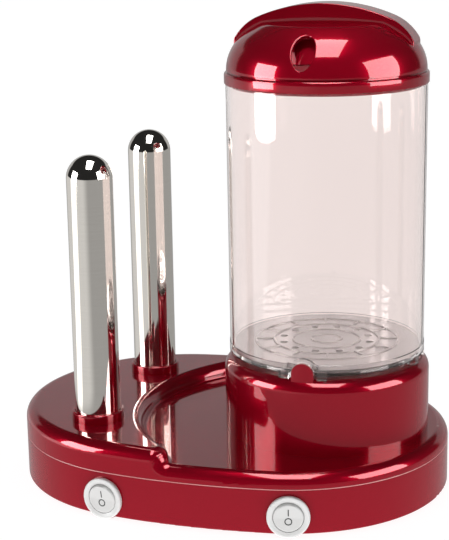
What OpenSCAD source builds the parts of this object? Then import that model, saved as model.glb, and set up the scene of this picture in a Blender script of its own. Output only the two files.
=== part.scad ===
// Countertop cooker: two heated spikes beside a clear steaming tank over a small boiler.
// Millimetres, Z up, origin on the table under the middle of the base, front towards -Y.

/* [Base] */
// Length of the base
base_length = 247; // [240:1:262]
// Depth of the base
base_depth = 185; // [180:1:196]
// How far the long sides bow out past the end arcs
side_bow = 2.5; // [1.6:0.1:5]
// Height of the tray, from its lower edge to the parting line
tray_height = 24.8; // [24:0.1:31.5]
// Rise of the low deck above the parting line
low_deck_rise = 8; // [7:0.1:12]
// Rise of the raised deck above the low deck
deck_step = 7.9; // [7:0.1:12]
// Radius of the step wall about the boiler's axis
step_radius = 104; // [98:1:108]
// Rounding along the edges of the decks
deck_round = 6.5; // [4:0.1:6.6]
// Rounding, in plan, where the step meets the outer wall
nose_radius = 8.5; // [7.5:0.1:11]
// Wall of the base shells
shell_wall = 2.5; // [2:0.1:3]
// Rounding of the tray's lower edge
tray_round = 1.2; // [0.8:0.1:2]
// Groove along the parting line
parting_gap = 0.6; // [0.3:0.1:1]
// Thickness of the locating lip inside the parting line
lip_wall = 1.2; // [0.8:0.1:1.5]
// Height of the locating lip
lip_height = 2.5; // [1.5:0.1:3.5]

/* [Feet] */
// Height of the feet
foot_height = 2.5; // [2.1:0.1:6.5]
// Diameter of a foot
foot_d = 16; // [12:1:20]
// Distance of the feet from the middle, along the base
foot_x = 75; // [60:1:85]
// Distance of the feet from the middle, across the base
foot_y = 45; // [35:1:52]
// Diameter of the stem that plugs a foot into the tray
foot_stem_d = 4.8; // [3:0.1:6]

/* [Boiler] */
// Place of the boiler's axis along the base
boiler_x = 55; // [52:1:58]
// Diameter of the collar
collar_d = 115; // [112:0.5:120]
// Height of the collar above the low deck
collar_height = 41.7; // [38:0.1:50]
// Wall of the collar
collar_wall = 2.5; // [2:0.1:3]
// Rounding of the collar's top edge
collar_round = 7; // [4:0.1:8]
// Diameter of the opening in the collar's top
collar_opening_d = 92; // [90:0.5:93]
// Width of the tongue that keys the tank
tongue_width = 12.3; // [8:0.1:16]
// Rise of the tongue above the collar's top
tongue_rise = 9.1; // [8:0.1:13]
// Thickness of the tongue
tongue_wall = 2; // [1.5:0.1:2.5]
// Outside diameter of the dish
pan_d = 88; // [84:0.5:89]
// Depth of the dish
pan_depth = 18; // [12:0.1:20]
// Rounding inside the bottom of the dish
pan_round = 5; // [2:0.1:8]
// Width of the rim of the dish
pan_rim = 3.9; // [3:0.1:4]
// Thickness of the dish's sheet
pan_sheet = 1; // [0.6:0.1:1.4]
// Height of the seal between dish and collar
seal_height = 1.6; // [1:0.1:3]
// Radius of the element's ring
element_radius = 28; // [24:0.5:34]
// Diameter of the element's tube
element_d = 6.6; // [5:0.1:7]
// Gap in the element's ring, in degrees
element_gap = 40; // [30:1:60]
// Width of the strap under the dish
strap_width = 16; // [12:0.5:20]
// Thickness of the strap's steel
strap_sheet = 1.2; // [0.8:0.1:2]
// Height of the thermostat
thermostat_height = 8.7; // [8.2:0.1:10]
// Diameter of the thermostat
thermostat_d = 16; // [12:0.5:18]

/* [Tank] */
// Outside diameter of the tank at its flange
tank_foot_d = 109.2; // [107:0.1:110]
// How much further out the tank's edge is than its foot
tank_flare = 0.2; // [0:0.1:0.6]
// Thickness of the tank's wall
tank_wall = 2.2; // [1.8:0.1:2.4]
// Height of the tank from its flange's underside
tank_height = 148.8; // [120:0.1:180]
// Gap between the flange and the collar's top
tank_gap = 3.8; // [3:0.1:6]
// Height of the flange
flange_height = 4.6; // [4:0.1:6]
// Height of the ledge that carries the floor
ledge_height = 1.7; // [1.2:0.1:2.4]
// Width of a leg
leg_width = 5.5; // [4:0.1:6]
// Angle from a pair's middle to a leg
leg_angle = 11.3; // [10.6:0.1:14]
// Depth of the skirt below the flange
skirt_depth = 6.8; // [4.5:0.1:7]
// Thickness of the floor
floor_sheet = 2.3; // [1.6:0.1:3]
// Height of the floor's ribs
floor_rib = 0.9; // [0.5:0.1:1.5]
// Diameter of a steam hole
steam_hole_d = 4.4; // [3:0.1:5]

/* [Lid] */
// How far the band stands out past the tank's edge
band_overhang = 0.8; // [0.4:0.1:3]
// Height of the band
lid_band_height = 6.2; // [5:0.1:9]
// Groove between band and dome
lid_groove = 0.8; // [0.4:0.1:1.4]
// How far the dome stands back from the band
dome_step = 1.2; // [0.6:0.1:2]
// Height of the dome's full arch
dome_height = 33.4; // [31:0.1:37]
// Radius of the dome's shoulder
dome_shoulder = 24; // [20:0.1:26]
// Wall of the dome
dome_wall = 2.4; // [2:0.1:2.8]
// Depth of the flat shelf below the full arch
shelf_drop = 8.2; // [6.5:0.1:9]
// Width of the grip bar
grip_width = 19; // [14:0.5:24]
// Length of the grip bar
grip_length = 99; // [94:0.5:100]
// Radius of the grip bar's back along its middle
grip_radius = 93; // [88:0.5:96]
// Radius of the grip bar's back towards its ends
grip_end_radius = 28; // [26:0.5:32]
// Rise of the grip bar above the full arch
grip_rise = 2.3; // [2:0.1:3.5]
// Width of the steam vent
vent_width = 12; // [8:0.1:14]
// Length of the steam vent
vent_length = 21; // [16:0.1:22]
// Angle of the steam vent above the horizontal
vent_angle = 37; // [34:0.5:40]

/* [Spikes] */
// Place of the spikes along the base, left of the middle
spike_x = 66.3; // [63:0.1:70]
// Distance between the two spikes
spike_pitch = 93.6; // [88:0.1:98]
// Diameter of a spike
spike_d = 25.5; // [20:0.1:27]
// Wall of a spike's tube
spike_wall = 1; // [0.6:0.1:1.4]
// Height of a spike above the raised deck
spike_height = 150; // [120:1:180]
// Width of the ring round a spike's foot
ring_width = 1.9; // [1.5:0.1:3]
// Height of the ring
ring_height = 5; // [3:0.1:8]
// Length of the heater's rod
heater_length = 112; // [80:1:114]
// Diameter of the heater's rod
heater_d = 10; // [6:0.1:12]
// Thickness of the bracket's steel
bracket_sheet = 1.5; // [1:0.1:2]
// Width of the bracket
bracket_width = 34; // [30:1:38]

/* [Switches] */
// Angle of the left switch round the base's left end, from straight ahead
switch_left_angle = 8.7; // [8:0.1:14]
// Angle of the right switch round the base's right end, from straight ahead
switch_right_angle = 14.5; // [11:0.1:18]
// Height of the switches above the tray's lower edge
switch_height = 10.4; // [10.1:0.1:12]
// Diameter of the bezel
bezel_d = 23; // [22.4:0.1:24]
// Thickness of the bezel
bezel_thick = 2.2; // [1.8:0.1:2.4]
// Diameter of the cut-out in the wall
cutout_d = 20.2; // [19.8:0.1:20.4]
// Diameter of the rocker's ball
rocker_d = 17.2; // [16.4:0.1:17.4]
// Tilt of the rocker to either side
rocker_tilt = 5; // [4:0.5:5.5]
// Tilt of the see-saw contact to either side
contact_tilt = 8; // [6:0.5:9]
// Diameter of the rocker's pivot pins
pivot_d = 2.4; // [1.8:0.1:2.8]

/* [Inlet] */
// Angle of the cord gland round the base's right end, from straight behind
gland_angle = 20; // [16:1:26]
// Height of the cord gland above the tray's lower edge
gland_height = 13.5; // [12.5:0.1:15]
// Bore of the cord gland
gland_bore_d = 7.2; // [6:0.1:8]
// Diameter of the gland's barrel
gland_barrel_d = 11; // [10:0.1:12]
// Length of the terminal block
block_length = 26; // [20:1:32]
// Width of the terminal block
block_width = 14; // [12:0.5:18]
// Height of the terminal block
block_height = 12; // [10:0.5:14]
// Diameter of the wires
wire_d = 2.6; // [1.6:0.1:3]

/* [Fasteners] */
// Diameter of the screws
screw_d = 3; // [2.5:0.1:3.2]
// Diameter of the screw heads
screw_head_d = 6; // [5:0.1:6.4]
// Height of the screw heads
screw_head = 2; // [1.4:0.1:2.4]
// Diameter of the posts that take the screws
post_d = 6; // [5.6:0.1:6.4]

/* [Hidden] */
$fn = 96;
BOW_FN = 360;
WIRE_SIDES = 8;

RED = [0.60, 0.04, 0.08];
STEEL = [0.78, 0.77, 0.75];
CLEAR = [0.86, 0.84, 0.85, 0.35];
WHITE = [0.87, 0.87, 0.87];
BRASS = [0.80, 0.66, 0.35];
BLACK = [0.10, 0.10, 0.11];
GREY = [0.55, 0.55, 0.56];
SILICONE = [0.85, 0.83, 0.80];

// Clearances: sliding pieces, seated pieces, screws in their holes, bearings, and the overlap of cuts
free_gap = 0.5;
seat_gap = 0.2;
screw_gap = 0.2;
bearing_gap = 0.05;
cut = 1;

// Levels
edge_z = foot_height;
floor_z = edge_z + shell_wall;
parting_z = edge_z + tray_height;
low_z = parting_z + low_deck_rise;
high_z = low_z + deck_step;
collar_z = low_z + collar_height;
flange_z = collar_z + tank_gap;
tank_top_z = flange_z + tank_height;
band_z = tank_top_z + seat_gap;
dome_z = band_z + lid_band_height + lid_groove;

// Oval of the base: end arcs joined by long bowed sides
half_length = base_length/2;
half_depth = base_depth/2;
end_r = half_depth - side_bow;
end_x = half_length - end_r;
bow_r = (half_length*half_length + half_depth*half_depth - 2*half_length*end_r)/(2*side_bow);
bow_y = bow_r - half_depth;
end_angle = atan2(bow_y, end_x);
rim_round = min(deck_round, low_deck_rise - parting_gap);

// Centre of a circle that touches the bowed side and the step,
// and of the slightly larger rounding of the nose
nose_bow = bow_r - nose_radius;
nose_step = step_radius + nose_radius;
nose_span = sqrt(boiler_x*boiler_x + bow_y*bow_y);
nose_along = (nose_bow*nose_bow - nose_step*nose_step + nose_span*nose_span)/(2*nose_span);
nose_across = sqrt(nose_bow*nose_bow - nose_along*nose_along);
nose_dir = [boiler_x/nose_span, -bow_y/nose_span];
nose_x = nose_dir.x*nose_along + nose_dir.y*nose_across;
nose_y = bow_y + nose_dir.y*nose_along - nose_dir.x*nose_across;
nose_out = unit([nose_x, nose_y - bow_y]);
nose_in = unit([boiler_x - nose_x, -nose_y]);
nose_way = unit(nose_out + nose_in);
nose_r = 1.1*nose_radius;
nose_mid = [nose_x, nose_y] + (nose_radius - nose_r)*nose_way;

// Screw places
base_screw_x = half_length - 18.5;
base_screw_y = half_depth - 14.5;
base_screw_places = [[base_screw_x, 0], [-base_screw_x, 0], [0, base_screw_y], [0, -base_screw_y]];
base_post_d = post_d + 2;
collar_screw = 10;
strap_screw = 10;
handle_screw = 6;
collar_r = collar_d/2;
collar_post_r = collar_r - collar_wall - post_d/2 - 0.8;
collar_post_angles = [45, 135, 225, 315];

// Boiler
pan_top_z = collar_z - collar_wall - seal_height;
pan_floor_z = pan_top_z - pan_depth - pan_sheet;
strap_z = pan_floor_z - thermostat_height;
deck_opening_r = collar_post_r - post_d/2 - 5;
element_z = pan_floor_z - element_d/2 - 0.1;
element_end_z = strap_z - 4;
element_pin_d = 2.4;
element_pin = 5;
fuse_d = 4;

// Tank
tank_r = tank_foot_d/2;
tank_bore_r = tank_r - tank_wall;
tank_edge_r = tank_r + tank_flare;
skirt_r = collar_opening_d/2 - 1;
skirt_wall = 2;
pocket_wall = 1.8;
tongue_r = tank_r;
plate_r = tank_bore_r - free_gap;
plate_z = flange_z + ledge_height + seat_gap;

// Lid
band_r = tank_edge_r + band_overhang;
dome_r = band_r - dome_step;
dome_d = 2*dome_r;
cap_r = (pow(dome_r - dome_shoulder, 2) + dome_height*dome_height - dome_shoulder*dome_shoulder)
    /(2*(dome_height - dome_shoulder));
cap_y = dome_height - cap_r;
cap_angle = atan2(-cap_y, dome_r - dome_shoulder);
shelf_y = dome_height - shelf_drop;
grip_z = dome_z + dome_height + grip_rise;
grip_screw_x = 15;
band_skirt = 1.5;
band_wall = 2;

// Spikes
spike_y = spike_pitch/2;
spike_r = spike_d/2;
bracket_z = low_z - shell_wall - free_gap - bracket_sheet;
bracket_drop = high_z - bracket_z;
bracket_screw_y = spike_y + spike_r + post_d/2 + 3.8;
heater_plug = 14.5;
heater_pin_x = 4;
heater_pin = 5.5;

// Switches: a local frame with X to the right, Y up and Z out of the wall
switch_z = edge_z + switch_height;
well_r = bezel_d/2 + 0.4;
well_face = 0.3;
well_depth = 18;
well_end = 2;
body_r = cutout_d/2 - screw_gap;
body_depth = well_depth - 1;
rocker_r = rocker_d/2;
rocker_bore_r = rocker_r + 0.3;
pivot_z = -1;
rocker_face = 3.2;
rocker_nose = 7.2;
contact_z = pivot_z - rocker_nose - 1.1;
contact_length = 10.6;
contact_width = 4;
contact_sheet = 0.6;
blade_width = 4.8;
blade_sheet = 0.8;
blade_drop = 4.4;
blade_end = -27;

// Inlet
gland_z = edge_z + gland_height;
gland_out = 7;
gland_flange = 2.5;
gland_in = 9;
gland_nut = 4;
gland_pad = 1;
block_x = 38;
block_y = 56;

// Outlines

// Oval of the base, drawn in by a distance.
module oval(inset) {
    tangent_x = end_x + (end_r - inset)*cos(end_angle);
    for (side = [-1, 1]) translate([side*end_x, 0]) circle(end_r - inset);
    intersection() {
        translate([0, bow_y]) circle(bow_r - inset, $fn = BOW_FN);
        translate([0, -bow_y]) circle(bow_r - inset, $fn = BOW_FN);
        square([2*tangent_x, base_depth], center = true);
    }
}

// Wedge at a nose, from the middle of its rounding out past the sharp tip.
module nose_wedge() {
    reach = 4*nose_radius;
    polygon([nose_mid, nose_mid + reach*nose_out, nose_mid + 2*reach*nose_way, nose_mid + reach*nose_in]);
}

// Plan of the raised deck, drawn in by a distance.
module raised_plan(inset) {
    difference() {
        oval(inset);
        translate([boiler_x, 0]) circle(step_radius + inset, $fn = BOW_FN);
        for (side = [0, 1]) mirror([0, side]) difference() {
            nose_wedge();
            translate(nose_mid) circle(nose_r - inset);
        }
    }
}

// Quarter disc for a rounded edge.
module quarter(radius) {
    intersection() {
        circle(radius, $fn = 48);
        square(radius);
    }
}

// Parts of the plan that bend about the centre of the right end and of the front side.
module end_sector() {
    far_x = 2*base_length;
    polygon([[end_x, 0], [2*end_x, -bow_y], [far_x, -bow_y], [far_x, bow_y], [2*end_x, bow_y]]);
}
module bow_sector() {
    polygon([[0, bow_y], [2*end_x, -bow_y], [-2*end_x, -bow_y]]);
}

// Rounded edge along the arc of a sector.
module sector_edge(centre, radius, round) {
    intersection() {
        translate(centre) rotate_extrude() translate([radius - round, 0]) quarter(round);
        translate([0, 0, -round]) linear_extrude(3*round) children();
    }
}

// Oval and raised blocks with a step along the top edge, which leaves room for a rounding.
module oval_block(height, inset, step) {
    linear_extrude(height - step) oval(inset);
    linear_extrude(height) oval(inset + step);
}
module raised_block(height, inset, step) {
    linear_extrude(height - step) raised_plan(inset);
    linear_extrude(height) raised_plan(inset + step);
}

// Oval slab with a rounded top edge.
module oval_slab(height, round) {
    oval_block(height, 0, round);
    translate([0, 0, height - round]) for (side = [0, 180]) rotate(side) {
        sector_edge([end_x, 0], end_r, round) end_sector();
        sector_edge([0, bow_y], bow_r, round, $fn = BOW_FN) bow_sector();
    }
}

// Raised slab at the left of the step, from a level up, with a rounded top edge.
module raised_slab(base, height, round) {
    intersection() {
        oval_slab(height, round);
        intersection() {
            translate([boiler_x, 0, base]) rotate_extrude($fn = BOW_FN) mirror([1, 0])
                rounded_profile(-base_length, -step_radius, height - base, round);
            union() {
                linear_extrude(height) difference() {
                    square(2*base_length, center = true);
                    for (side = [0, 1]) mirror([0, side]) nose_wedge();
                }
                for (side = [0, 1]) mirror([0, side, 0]) translate(nose_mid) rotate_extrude()
                    rounded_profile(0, nose_r, height, round);
            }
        }
    }
}

// Box in a profile with its outer top corner rounded.
module rounded_profile(from, to, height, round) {
    translate([from, 0]) square([to - round - from, height]);
    translate([from, 0]) square([to - from, height - round]);
    translate([to - round, height - round]) quarter(round);
}

// Half section of the dome, drawn in by a distance.
module dome_profile(inset) {
    reach = 2*cap_r;
    shoulder_x = dome_r - dome_shoulder;
    tangent = [(cap_r - inset)*cos(cap_angle), cap_y + (cap_r - inset)*sin(cap_angle)];
    intersection() {
        union() {
            translate([shoulder_x, 0]) circle(dome_shoulder - inset);
            polygon([[0, 0], [shoulder_x, 0], tangent, [0, tangent.y]]);
            intersection() {
                translate([0, cap_y]) circle(cap_r - inset, $fn = BOW_FN);
                polygon([
                    [0, cap_y],
                    [reach*cos(cap_angle), cap_y + reach*sin(cap_angle)],
                    [0, cap_y + reach]
                ]);
            }
        }
        square([dome_d, 2*dome_height]);
    }
}

// Half section of the dome below a level.
module dome_below(inset, level) {
    intersection() {
        dome_profile(inset);
        square([dome_d, level]);
    }
}

// Fasteners and wires

// Screw that points up, with the seat of its head at the origin.
module screw_up(length) {
    translate([0, 0, -screw_head]) cylinder(d = screw_head_d, h = screw_head);
    cylinder(d = screw_d, h = length);
}

// Hole for a screw, open below.
module screw_hole(length) {
    translate([0, 0, -cut]) cylinder(d = screw_d + 2*screw_gap, h = length + cut + screw_gap);
}

// Wire along a list of points: a ring at each point, mitred at the bends.
function unit(v) = v/norm(v);
function way(points, i) = unit(points[i] - points[i - 1]);
function mitre(points, i) = i == len(points) - 1 ? way(points, i) : unit(way(points, i) + way(points, i + 1));
function carry(ring, along, place, plane) =
    [for (point = ring) point + along*((place - point)*plane)/(along*plane)];
function wire_rings(points, ring, i = 1) = i == len(points) ? [ring] : concat(
    [ring], wire_rings(points, carry(ring, way(points, i), points[i], mitre(points, i)), i + 1));
module wire(points) {
    along = way(points, 1);
    side = unit(cross(along, [0, 1, 2]));
    first = [for (k = [0:WIRE_SIDES - 1])
        points[0] + wire_d/2*(cos(k*360/WIRE_SIDES)*side + sin(k*360/WIRE_SIDES)*cross(along, side))];
    rings = wire_rings(points, first);
    last = len(rings) - 1;
    walls = [for (i = [1:last], k = [0:WIRE_SIDES - 1]) let(
        a = (i - 1)*WIRE_SIDES + k,
        b = (i - 1)*WIRE_SIDES + (k + 1) % WIRE_SIDES
    ) [a, a + WIRE_SIDES, b + WIRE_SIDES, b]];
    start_cap = [for (k = [0:WIRE_SIDES - 1]) k];
    end_cap = [for (k = [WIRE_SIDES - 1:-1:0]) last*WIRE_SIDES + k];
    polyhedron([for (ring = rings) each ring], concat([start_cap, end_cap], walls));
}

// Places

// Front wall of the base at a side (-1 left, 1 right) and an angle, at a height.
module at_wall(side, angle, height) {
    translate([side*end_x, 0, height]) rotate(side*angle)
        translate([0, -end_r, 0]) rotate([90, 0, 0]) children();
}

// Point in the base at a depth behind a place on the front wall.
function behind_wall(side, angle, depth, height) =
    [side*(end_x + (end_r - depth)*sin(angle)), -(end_r - depth)*cos(angle), height];

module at_left_switch() { at_wall(-1, switch_left_angle, switch_z) children(); }
module at_right_switch() { at_wall(1, switch_right_angle, switch_z) children(); }
module at_gland() { at_wall(1, 180 - gland_angle, gland_z) children(); }
module at_boiler(height) { translate([boiler_x, 0, height]) children(); }
module at_spike(side, height) { translate([-spike_x, side*spike_y, height]) children(); }
module at_collar_posts(height) {
    at_boiler(height) for (angle = collar_post_angles) rotate(angle) translate([collar_post_r, 0]) children();
}
module at_strap_posts(height) {
    at_boiler(height) for (angle = [0, 180]) rotate(angle) translate([collar_post_r, 0]) children();
}
module at_bracket_posts(height) {
    for (y = [-bracket_screw_y, 0, bracket_screw_y]) translate([-spike_x, y, height]) children();
}
module at_feet(height) {
    for (x = [-foot_x, foot_x], y = [-foot_y, foot_y]) translate([x, y, height]) children();
}
module at_base_screws(height) {
    for (place = base_screw_places) translate([place.x, place.y, height]) children();
}
module at_vent(distance) {
    translate([boiler_x, dome_shoulder - dome_r, dome_z]) rotate([90 - vent_angle, 0, 0])
        translate([0, 0, distance]) children();
}

// Base

// Pocket behind the wall that holds a switch, with its bore and the way out for its blades.
module switch_well() {
    translate([0, 0, -well_depth - well_end]) cylinder(r = well_r, h = well_depth + well_end + well_face);
}
module switch_well_bore() {
    window = [blade_width + 2*free_gap, 2*blade_drop + 2*free_gap];
    translate([0, 0, -well_depth]) cylinder(d = cutout_d, h = well_depth + well_face + cut);
    translate([-window.x/2, -blade_drop - free_gap - blade_sheet/2, -well_depth - well_end - cut])
        cube([window.x, window.y, well_end + 2*cut]);
}

module base_tray() {
    wall_height = tray_height - parting_gap/2;
    lip_base = lip_wall + shell_wall;
    pad_z = shell_wall + gland_pad;
    color(RED) difference() {
        union() {
            difference() {
                union() {
                    translate([0, 0, parting_z - parting_gap/2]) mirror([0, 0, 1])
                        oval_slab(wall_height, tray_round);
                    translate([0, 0, parting_z - lip_base])
                        linear_extrude(lip_base + lip_height) oval(shell_wall - lip_wall);
                }
                translate([0, 0, floor_z]) linear_extrude(tray_height + lip_height) oval(shell_wall);
            }
            at_left_switch() switch_well();
            at_right_switch() switch_well();
            at_base_screws(edge_z) cylinder(d = base_post_d, h = wall_height);
            at_gland() translate([0, 0, -pad_z]) cylinder(d = gland_barrel_d + 8, h = pad_z + well_face);
        }
        at_left_switch() switch_well_bore();
        at_right_switch() switch_well_bore();
        at_base_screws(edge_z) {
            translate([0, 0, -cut]) cylinder(d = screw_head_d + 2*screw_gap, h = screw_head + 2*cut);
            screw_hole(tray_height);
        }
        at_gland() translate([0, 0, -pad_z - cut])
            cylinder(d = gland_barrel_d + 2*screw_gap, h = pad_z + 3*cut);
        at_feet(edge_z - cut) cylinder(d = foot_stem_d + 2*screw_gap, h = shell_wall + 2*cut);
    }
}

module base_cover() {
    start_z = parting_z + parting_gap/2;
    low_rise = low_z - start_z;
    high_rise = high_z - start_z;
    inner_step = rim_round - shell_wall + 0.8;
    rebate = shell_wall - lip_wall - screw_gap;
    color(RED) difference() {
        union() {
            difference() {
                translate([0, 0, start_z]) {
                    oval_slab(low_rise, rim_round);
                    raised_slab(low_rise - rim_round, high_rise, rim_round);
                }
                translate([0, 0, start_z - cut]) {
                    oval_block(low_rise - shell_wall + cut, shell_wall, inner_step);
                    raised_block(high_rise - shell_wall + cut, shell_wall, inner_step);
                }
                translate([0, 0, start_z - cut]) linear_extrude(lip_height + cut) oval(rebate);
            }
            for (place = base_screw_places)
                translate([place.x, place.y, start_z])
                    cylinder(d = base_post_d, h = (place.x < 0 ? high_rise : low_rise) - shell_wall/2);
            at_bracket_posts(bracket_z + bracket_sheet)
                cylinder(d = post_d + 1, h = bracket_drop - bracket_sheet - shell_wall/2);
        }
        at_base_screws(start_z) screw_hole(low_rise - shell_wall);
        at_bracket_posts(bracket_z + bracket_sheet) screw_hole(bracket_drop - bracket_sheet - shell_wall);
        at_boiler(parting_z) cylinder(r = deck_opening_r, h = collar_height);
        at_collar_posts(low_z - shell_wall) screw_hole(shell_wall + cut);
        for (side = [-1, 1]) at_spike(side, bracket_z) cylinder(d = spike_d + 2*seat_gap, h = 2*bracket_drop);
    }
}

module feet() {
    color(BLACK) at_feet(0) {
        cylinder(d1 = foot_d - 2, d2 = foot_d, h = foot_height);
        cylinder(d = foot_stem_d, h = foot_height + shell_wall + seat_gap);
    }
}

module base_screws() {
    color(STEEL) at_base_screws(edge_z + screw_head + cut) screw_up(tray_height + low_deck_rise/4);
}

// Boiler

module boiler_collar() {
    opening_r = collar_opening_d/2;
    inner_r = collar_r - collar_wall;
    inner_height = collar_height - collar_wall;
    post_top = collar_z - collar_wall/2;
    straight = tongue_rise - tongue_width/2;
    color(RED) difference() {
        union() {
            at_boiler(low_z) rotate_extrude() difference() {
                rounded_profile(opening_r, collar_r, collar_height, collar_round);
                translate([0, -cut])
                    rounded_profile(opening_r - cut, inner_r, inner_height + cut, collar_round - collar_wall);
            }
            at_collar_posts(low_z) cylinder(d = post_d, h = post_top - low_z);
            at_strap_posts(strap_z) cylinder(d = post_d, h = post_top - strap_z);
            at_boiler(collar_z - collar_wall) intersection() {
                difference() {
                    cylinder(r = tongue_r, h = collar_wall + tongue_rise);
                    translate([0, 0, -cut]) cylinder(r = tongue_r - tongue_wall, h = collar_height);
                }
                translate([0, 0, collar_wall]) rotate([90, 0, 0]) linear_extrude(collar_r) {
                    translate([-tongue_width/2, -collar_wall]) square([tongue_width, straight + collar_wall]);
                    translate([0, straight]) circle(d = tongue_width);
                }
            }
        }
        at_collar_posts(low_z) screw_hole(collar_screw);
        at_strap_posts(strap_z) screw_hole(strap_screw);
    }
}

module collar_screws() { color(STEEL) at_collar_posts(low_z - shell_wall) screw_up(collar_screw); }

module boiler_pan() {
    inner_r = pan_d/2 - pan_sheet;
    color(STEEL) at_boiler(pan_floor_z) rotate_extrude() {
        difference() {
            translate([0, pan_depth + pan_sheet]) mirror([0, 1])
                rounded_profile(0, pan_d/2, pan_depth + pan_sheet, pan_round + pan_sheet);
            translate([0, pan_depth + pan_sheet + cut]) mirror([0, 1])
                rounded_profile(0, inner_r, pan_depth + cut, pan_round);
            translate([-pan_d, 0]) square([pan_d, pan_depth + 2*pan_sheet]);
        }
        translate([pan_d/2 - pan_sheet/2, pan_depth]) square([pan_rim + pan_sheet/2, pan_sheet]);
    }
}

module pan_seal() {
    seal_r = pan_d/2 + pan_rim;
    color(SILICONE) at_boiler(pan_top_z) difference() {
        cylinder(r = seal_r, h = seal_height);
        translate([0, 0, -cut]) cylinder(r = seal_r - 1.7, h = seal_height + 2*cut);
    }
}

module heating_element() {
    start = 90 + element_gap/2;
    color(GREY) at_boiler(element_z) {
        rotate(start) rotate_extrude(angle = 360 - element_gap) translate([element_radius, 0])
            circle(d = element_d, $fn = 32);
        for (angle = [start, start - element_gap]) rotate(angle) translate([element_radius, 0]) {
            sphere(d = element_d);
            translate([0, 0, element_end_z - element_z])
                cylinder(d = element_d, h = element_z - element_end_z);
            translate([0, 0, element_end_z - element_z - element_pin])
                cylinder(d = element_pin_d, h = element_pin + cut);
        }
    }
}

module element_strap() {
    length = 2*collar_post_r + post_d;
    color(STEEL) difference() {
        at_boiler(strap_z - strap_sheet/2) cube([length, strap_width, strap_sheet], center = true);
        at_strap_posts(strap_z - strap_sheet) screw_hole(strap_sheet + cut);
    }
}

module strap_screws() { color(STEEL) at_strap_posts(strap_z - strap_sheet) screw_up(strap_screw); }

module thermostat() {
    blade = [7, 0.8, 4.8];
    color(BLACK) at_boiler(strap_z) {
        cylinder(d = thermostat_d, h = thermostat_height - seat_gap);
        for (side = [-1, 1]) translate([-blade.y/2, side*(thermostat_d/2 + blade.x/2 - 1) - blade.x/2, 1])
            cube([blade.y, blade.x, blade.z]);
    }
}

module thermal_fuse() {
    fuse_x = thermostat_d/2 + fuse_d + 3;
    color(WHITE) at_boiler(strap_z + fuse_d/2) translate([fuse_x, strap_width/2, 0]) rotate([90, 0, 0])
        cylinder(d = fuse_d, h = strap_width);
}

// Spikes

// Half section of a round-tipped rod.
module rod_profile(radius, height) {
    square([radius, height - radius]);
    translate([0, height - radius]) quarter(radius);
}

module spike(side) {
    top = spike_height + bracket_drop - bracket_sheet;
    color(STEEL) at_spike(side, bracket_z + bracket_sheet) rotate_extrude() difference() {
        rod_profile(spike_r, top);
        rod_profile(spike_r - spike_wall, top - spike_wall);
    }
}

module spike_ring(side) {
    ring_r = spike_r + ring_width;
    bore_r = spike_r + seat_gap;
    lip = 0.6;
    color(RED) at_spike(side, high_z) rotate_extrude() difference() {
        rounded_profile(bore_r, ring_r, ring_height, lip);
        translate([0, -cut]) square([bore_r, ring_height + 2*cut]);
    }
}

module spike_heater(side) {
    plug_r = spike_r - spike_wall - seat_gap;
    color(SILICONE) at_spike(side, bracket_z + bracket_sheet) {
        cylinder(r = plug_r, h = heater_plug);
        cylinder(d = heater_d, h = heater_plug + heater_length);
        for (x = [-heater_pin_x, heater_pin_x]) translate([x, 0, -heater_pin])
            cylinder(d = element_pin_d, h = heater_pin + cut);
    }
}

module spike_bracket() {
    length = 2*bracket_screw_y + post_d + 7;
    color(STEEL) difference() {
        intersection() {
            translate([-spike_x, 0, bracket_z + bracket_sheet/2])
                cube([bracket_width, length, bracket_sheet], center = true);
            translate([0, 0, bracket_z - cut])
                linear_extrude(bracket_sheet + 2*cut) oval(shell_wall + free_gap);
        }
        at_bracket_posts(bracket_z) screw_hole(bracket_sheet + cut);
        for (side = [-1, 1]) at_spike(side, bracket_z - cut)
            cylinder(r = heater_pin_x + element_pin_d, h = bracket_sheet + 2*cut);
    }
}

module bracket_screws() { color(STEEL) at_bracket_posts(bracket_z) screw_up(bracket_drop - shell_wall - 1); }

// Switches

module switch_housing() {
    chamfer = 0.5;
    dish = 0.8;
    bearing_r = pivot_d/2 + bearing_gap;
    face = well_face + bezel_thick;
    bezel_r = bezel_d/2;
    cavity_depth = -contact_z + 3;
    color(WHITE) difference() {
        union() {
            rotate_extrude() polygon([
                [0, well_face], [bezel_r, well_face], [bezel_r, face - chamfer], [bezel_r - chamfer, face],
                [bezel_r - 2*chamfer, face], [rocker_bore_r, face - dish], [0, face - dish]
            ]);
            translate([0, 0, -body_depth]) cylinder(r = body_r, h = body_depth + well_face + cut/2);
        }
        translate([0, 0, -cavity_depth]) cylinder(r = rocker_bore_r, h = cavity_depth + face);
        translate([0, 0, pivot_z]) rotate([0, 90, 0]) cylinder(r = bearing_r, h = 3*body_r, center = true);
        for (y = [0, -blade_drop]) translate([0, y, -body_depth])
            cube([blade_width + screw_gap, blade_sheet + screw_gap, body_depth], center = true);
    }
}

// Rocker with its O half pressed flush.
module switch_rocker() {
    nose_d = 3;
    back = 3;
    block = 2*rocker_d;
    color(WHITE) translate([0, 0, pivot_z]) rotate([rocker_tilt, 0, 0]) {
        difference() {
            sphere(r = rocker_r);
            for (side = [0, 180]) rotate(side) translate([0, 0, rocker_face]) rotate([rocker_tilt, 0, 0])
                translate([-block/2, -rocker_face*tan(rocker_tilt)/2, 0]) cube(block);
            translate([-block/2, -block/2, -block - back]) cube(block);
        }
        rotate([0, 90, 0]) cylinder(d = pivot_d, h = 2*(body_r - 0.2), center = true);
        translate([0, 0, -rocker_nose + nose_d/2]) cylinder(d = nose_d, h = rocker_nose - nose_d/2);
        translate([0, 0, -rocker_nose + nose_d/2]) sphere(d = nose_d);
    }
}

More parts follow.
